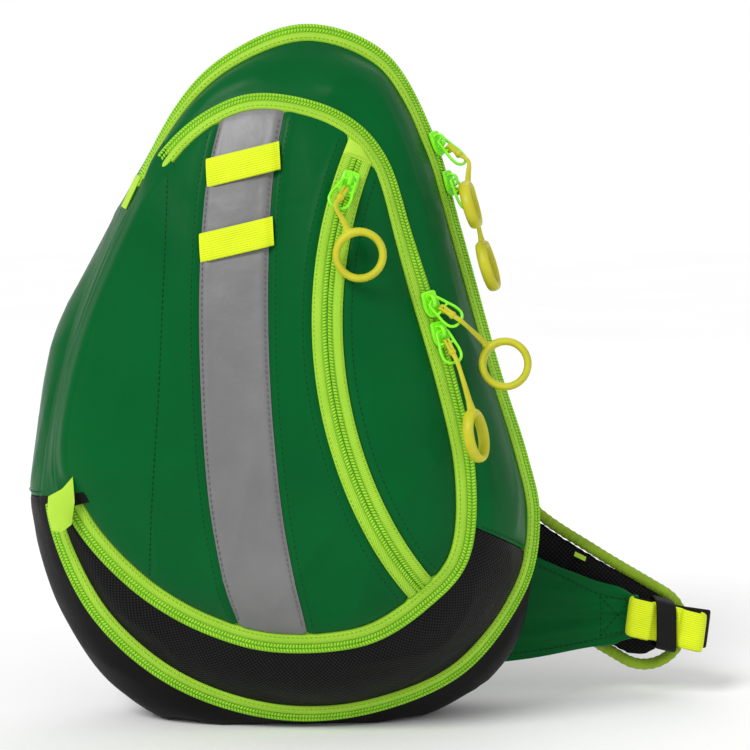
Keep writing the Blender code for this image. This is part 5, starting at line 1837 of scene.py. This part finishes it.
@dataclass
class BackAndInside:
    """The back panel with its pads and haul loop, and the linings that show when the pack is open."""

    pad_layers: tuple = ((-2.2, 0.6), (-2.2, 0.97), (-1.2, 1.0), (3.6, 1.0), (5.8, 0.97), (7.0, 0.9),
                         (7.2, 0.5))
    sheet_layers: tuple = ((0.02, 0), (0.2, 0), (0.4, 0), (0.6, 0), (0.75, 0), (0.88, 0), (0.97, 0),
                           (0.995, 0.25), (1.0, 0.5), (0.995, 0.75), (0.97, 1), (0.8, 1), (0.5, 1), (0.02, 1))

    def edge(self, inset: float, count: int = 200) -> Points:
        """The back panel's edge in x and z, moved in, clockwise from the top."""
        points = []
        for angle in np.linspace(90, -270, count, endpoint=False):
            down = -math.sin(math.radians(angle))
            reach = float(BULGE.reach(angle)) - 8.0
            reach = min(reach, AXIS_Z / down) if down > 0.01 else reach
            points.append(polar(angle, reach - inset, 0.0)[[0, 2]])
        return np.array(points)

    def disc(self, name: str, edge: Points, depth: Callable[[Points, Points], Points], thick: float,
             finish: Finish, body: str, slot: str, node: str, bulge: float = 0.0) -> None:
        """A sewn sheet with an edge.

        Args:
            name: the piece's name.
            edge: its edge in x and z.
            depth: its front face's depth as a function of x and z.
            thick: its thickness.
            finish: its cloth.
            body: the CAD body.
            slot: the record's slot.
            node: its CAD node.
            bulge: how far its middle stands to the front.
        """
        middle = edge.mean(axis=0)
        folds = Folds(len(name), 70.0)
        rings = []
        for share, deep in self.sheet_layers:
            xz = middle + (edge - middle) * share
            spots = np.stack([xz[:, 0], np.zeros(len(xz)), xz[:, 1]], axis=1)
            front = depth(xz[:, 0], xz[:, 1]) - bulge * (1 - share ** 2)
            front -= 0.5 * bulge * folds(spots) * (1 - share ** 3)
            rings.append(np.stack([xz[:, 0], front + deep * thick, xz[:, 1]], axis=1))
        piece = flat_uv(sweep(name, np.array(rings), finish))
        on(piece, body, slot, node)

    def pads(self) -> None:
        """The three foam pads on the back, filled by simulation."""
        edge = self.edge(26.0, 240)
        base = SHAPE.back_depth + SHAPE.back_thick
        for name, low, high in (("lumbar_pad", 30, 110), ("mid_back_pad", 122, 240),
                                ("upper_back_pad", 252, 375)):
            rows = np.linspace(low + 4.0, high - 4.0, 7)
            right, left = edge[edge[:, 0] > 0], edge[edge[:, 0] < 0]
            out_x = np.minimum(np.interp(rows, *right[np.argsort(right[:, 1])].T[::-1]), 88.0) - 2.0
            in_x = np.maximum(np.interp(rows, *left[np.argsort(left[:, 1])].T[::-1]), -110.0) + 2.0
            sides = np.stack([out_x, rows], 1), np.stack([in_x, rows], 1)[::-1]
            outline = spline(np.vstack(sides), 120, True)
            middle = outline.mean(axis=0)
            rings = []
            for depth, share in self.pad_layers:
                xz = middle + (outline - middle) * share
                rings.append(np.stack([xz[:, 0], np.full(120, base + depth), xz[:, 1]], axis=1))
            piece = inflate(sweep(f"{name}_foam", np.array(rings), SPACER), 2.6, 3.6)
            mesh = piece.data
            co = np.empty(len(mesh.vertices) * 3)
            mesh.vertices.foreach_get("co", co)
            co = co.reshape(-1, 3)
            wall = (base + 0.2) * MM + LEAN * co[:, 2]
            channel = np.exp(-((np.abs(co[:, 0] / MM + 6.0) - 34.0) / 3.0) ** 2)
            co[:, 1] -= 2.6 * MM * channel * ease((co[:, 1] - wall) / (3.0 * MM))
            mesh.vertices.foreach_set("co", co.ravel())
            flat_uv(piece)
            on(piece, "bag", "spacer_mesh_black", name)

    def haul_loop(self) -> None:
        """The webbing haul loop at the top of the back."""
        path = spline([(-20, 46.8, 447), (-20, 58, 443), (-20, 66, 424), (-20, 62, 407), (-20, 53, 408),
                       (-20, 50, 424), (-20, 50, 437)], 60)
        seat = np.array([(-20, 45.8, z) for z in np.linspace(434.0, 452.0, 12)])
        on(sweep("haul_loop_seat", strap_rings(seat, RIGHTWARD, 27.0, 1.5), WEBBING_BLACK), "bag",
           "ballistic_black")
        on(sweep("haul_loop_webbing", strap_rings(path, RIGHTWARD, 25.0, 1.6), WEBBING_BLACK), "haul_loop",
           "ballistic_black", "haul_loop")

    def inside(self) -> None:
        """The linings, the slip pocket and the elastic loops."""
        sheet = SHAPE.sheet_depth
        self.disc("back_liner_cloth", self.edge(13.0), lambda x, z: sheet - 2.0 + 0 * x, 1.2, LINING, "bag",
                  "lining_grey", "back_liner", 0.6)
        pocket = spline([(-95, 60), (-112, 110), (-110, 160), (-106, 189), (-40, 190), (30, 190), (79, 189),
                         (95, 150), (100, 110), (88, 60), (30, 58), (-40, 58)], 140, True)
        self.disc("inner_slip_pocket_cloth", pocket, lambda x, z: sheet - 5.0 + 0 * x, 1.2, LINING, "bag",
                  "lining_grey", "inner_slip_pocket", 0.8)
        points = []
        for i, x in enumerate(np.linspace(-70, 60, 121)):
            points.append((x, sheet - 4.6 - 4.0 * abs(math.sin(math.pi * i / 60)), 300.0))
        rings = strap_rings(np.array(points), UPWARD, 38.0, 1.2)
        on(sweep("inner_elastic_bands", rings, WEBBING_BLACK), "bag", "ballistic_black",
           "inner_elastic_loops")
        angles = np.linspace(90, -270, 200, endpoint=False)
        share = np.array([zip_share(float(a), SHAPE.pocket_start) for a in angles])
        edge = ring_xz(angles, POCKET.reach(angles) + 6.0 * share - 0.8 * (1 - share))
        self.disc("bulkhead_cloth", edge, lambda x, z: pocket_plane(x) + 5.0, 1.6, LINING, "main_door",
                  "lining_grey", "bulkhead_panel")

    def build(self) -> None:
        """Builds the back and the inside."""
        base = SHAPE.back_depth
        self.disc("back_panel_cloth", self.edge(0.0), lambda x, z: base + 0 * x, SHAPE.back_thick,
                  NYLON_BLACK, "bag", "ballistic_black", "back_panel")
        self.pads()
        self.haul_loop()
        self.inside()
        stiffener = frame["nodes"]["frame_sheet"]
        for slot in stiffener.material_slots:
            slot.material = PAINT(STIFFENER)


def upper_tab() -> None:
    """The small cloth tab over the upper left end of the main zip."""
    section = [(-8.2, 1.6), (-8.4, 2.2), (-7.6, 3.0), (-3.0, 3.5), (1.2, 3.1), (2.2, 2.4), (2.0, 1.7),
               (-3.0, 1.8)]
    spots = [main_frame(angle) for angle in np.linspace(127.5, 121.5, 14)]
    rings = np.array([[spot.at(a, b) for a, b in section] for spot in spots])
    on(sweep("upper_zip_tab_fold", rings, PATCH), "main_door", "patch_pale_lime", "upper_zip_tab")


# ---------------------------------------------------------------- the set

@dataclass(frozen=True)
class View:
    """The camera's place: round the pack, above it and how far off, with lengths in metres."""

    azimuth: float = -3.0
    elevation: float = 6.0
    distance: float = 1.55
    target: tuple[float, float, float] = (0.050, -0.038, 0.240)
    lens: float = 112.7


def area_light(name: str, spot: tuple[float, float, float], size: float, power: float) -> None:
    """A square soft light that points at the pack's middle."""
    data = bpy.data.lights.new(name, "AREA")
    data.shape, data.size, data.energy = "SQUARE", size, power
    light = in_scene(name, data)
    light.location = spot
    light.rotation_euler = (Vector((0.02, 0.0, 0.22)) - Vector(spot)).to_track_quat("-Z", "Y").to_euler()


def studio(view: View) -> None:
    """The floor, the lights and the camera."""
    half, below = 6.0, 0.0004
    corners = [(x * half, y * half, -below) for x, y in ((-1, -1), (1, -1), (1, 1), (-1, 1))]
    floor = new_object("studio_floor", corners, [(0, 1, 2, 3)], [FLOOR], smooth=None)
    world = bpy.data.worlds.new("studio")
    world.use_nodes = True
    sky = world.node_tree.nodes["Background"]
    sky.inputs["Color"].default_value = (1.0, 1.0, 1.0, 1.0)
    seen = put(world.node_tree, "ShaderNodeLightPath")
    strength = put(world.node_tree, "ShaderNodeMapRange",
                   {"Value": seen.outputs["Is Camera Ray"], "To Min": 0.64, "To Max": 1.0})
    world.node_tree.links.new(strength.outputs[0], sky.inputs["Strength"])
    bpy.context.scene.world = world
    sun = bpy.data.lights.new("key", "SUN")
    sun.energy, sun.angle = 1.75, math.radians(24.0)
    in_scene("key", sun).rotation_euler = Vector((1.0, 1.15, -1.35)).to_track_quat("-Z", "Y").to_euler()
    area_light("fill", (1.7, -1.5, 0.9), 1.2, 2.0)
    area_light("back", (0.5, 1.8, 1.6), 1.2, 5.0)
    data = bpy.data.cameras.new("camera")
    data.lens, data.sensor_width = view.lens, 36.0
    camera = in_scene("camera", data)
    az, el = math.radians(view.azimuth), math.radians(view.elevation)
    target = Vector(view.target)
    camera.location = target + Vector((math.sin(az) * math.cos(el), -math.cos(az) * math.cos(el),
                                       math.sin(el))) * view.distance
    camera.rotation_euler = (target - camera.location).to_track_quat("-Z", "Y").to_euler()
    bpy.context.scene.camera = camera
    bpy.context.scene.view_settings.view_transform = "Standard"


def long_zips() -> list[LongZip]:
    """The main zip round the pack and the front pocket's zip."""
    return [
        LongZip("main_zip", SHAPE.main_start, main_frame, ("main_door", "bag"),
                ("main_zip_binding", "main_zip_door_half", "main_zip_bag_half")),
        LongZip("front_zip", SHAPE.pocket_start, pocket_frame, ("front_lid", "main_door"),
                ("front_zip_binding", "front_zip_lid_half", "front_zip_door_half")),
    ]


def main() -> None:
    """Builds every piece in order."""
    logging.basicConfig(level=logging.INFO, format="%(name)s: %(message)s")
    studio(View())
    SideWalls().build()
    HingeCloth().build()
    for long_zip in long_zips():
        long_zip.build()
    FrontLid().build()
    upper_tab()
    for slider in sliders():
        slider.build()
    HipWing().build()
    ShoulderStrap().build()
    BackAndInside().build()


if __name__ == "__main__":
    main()
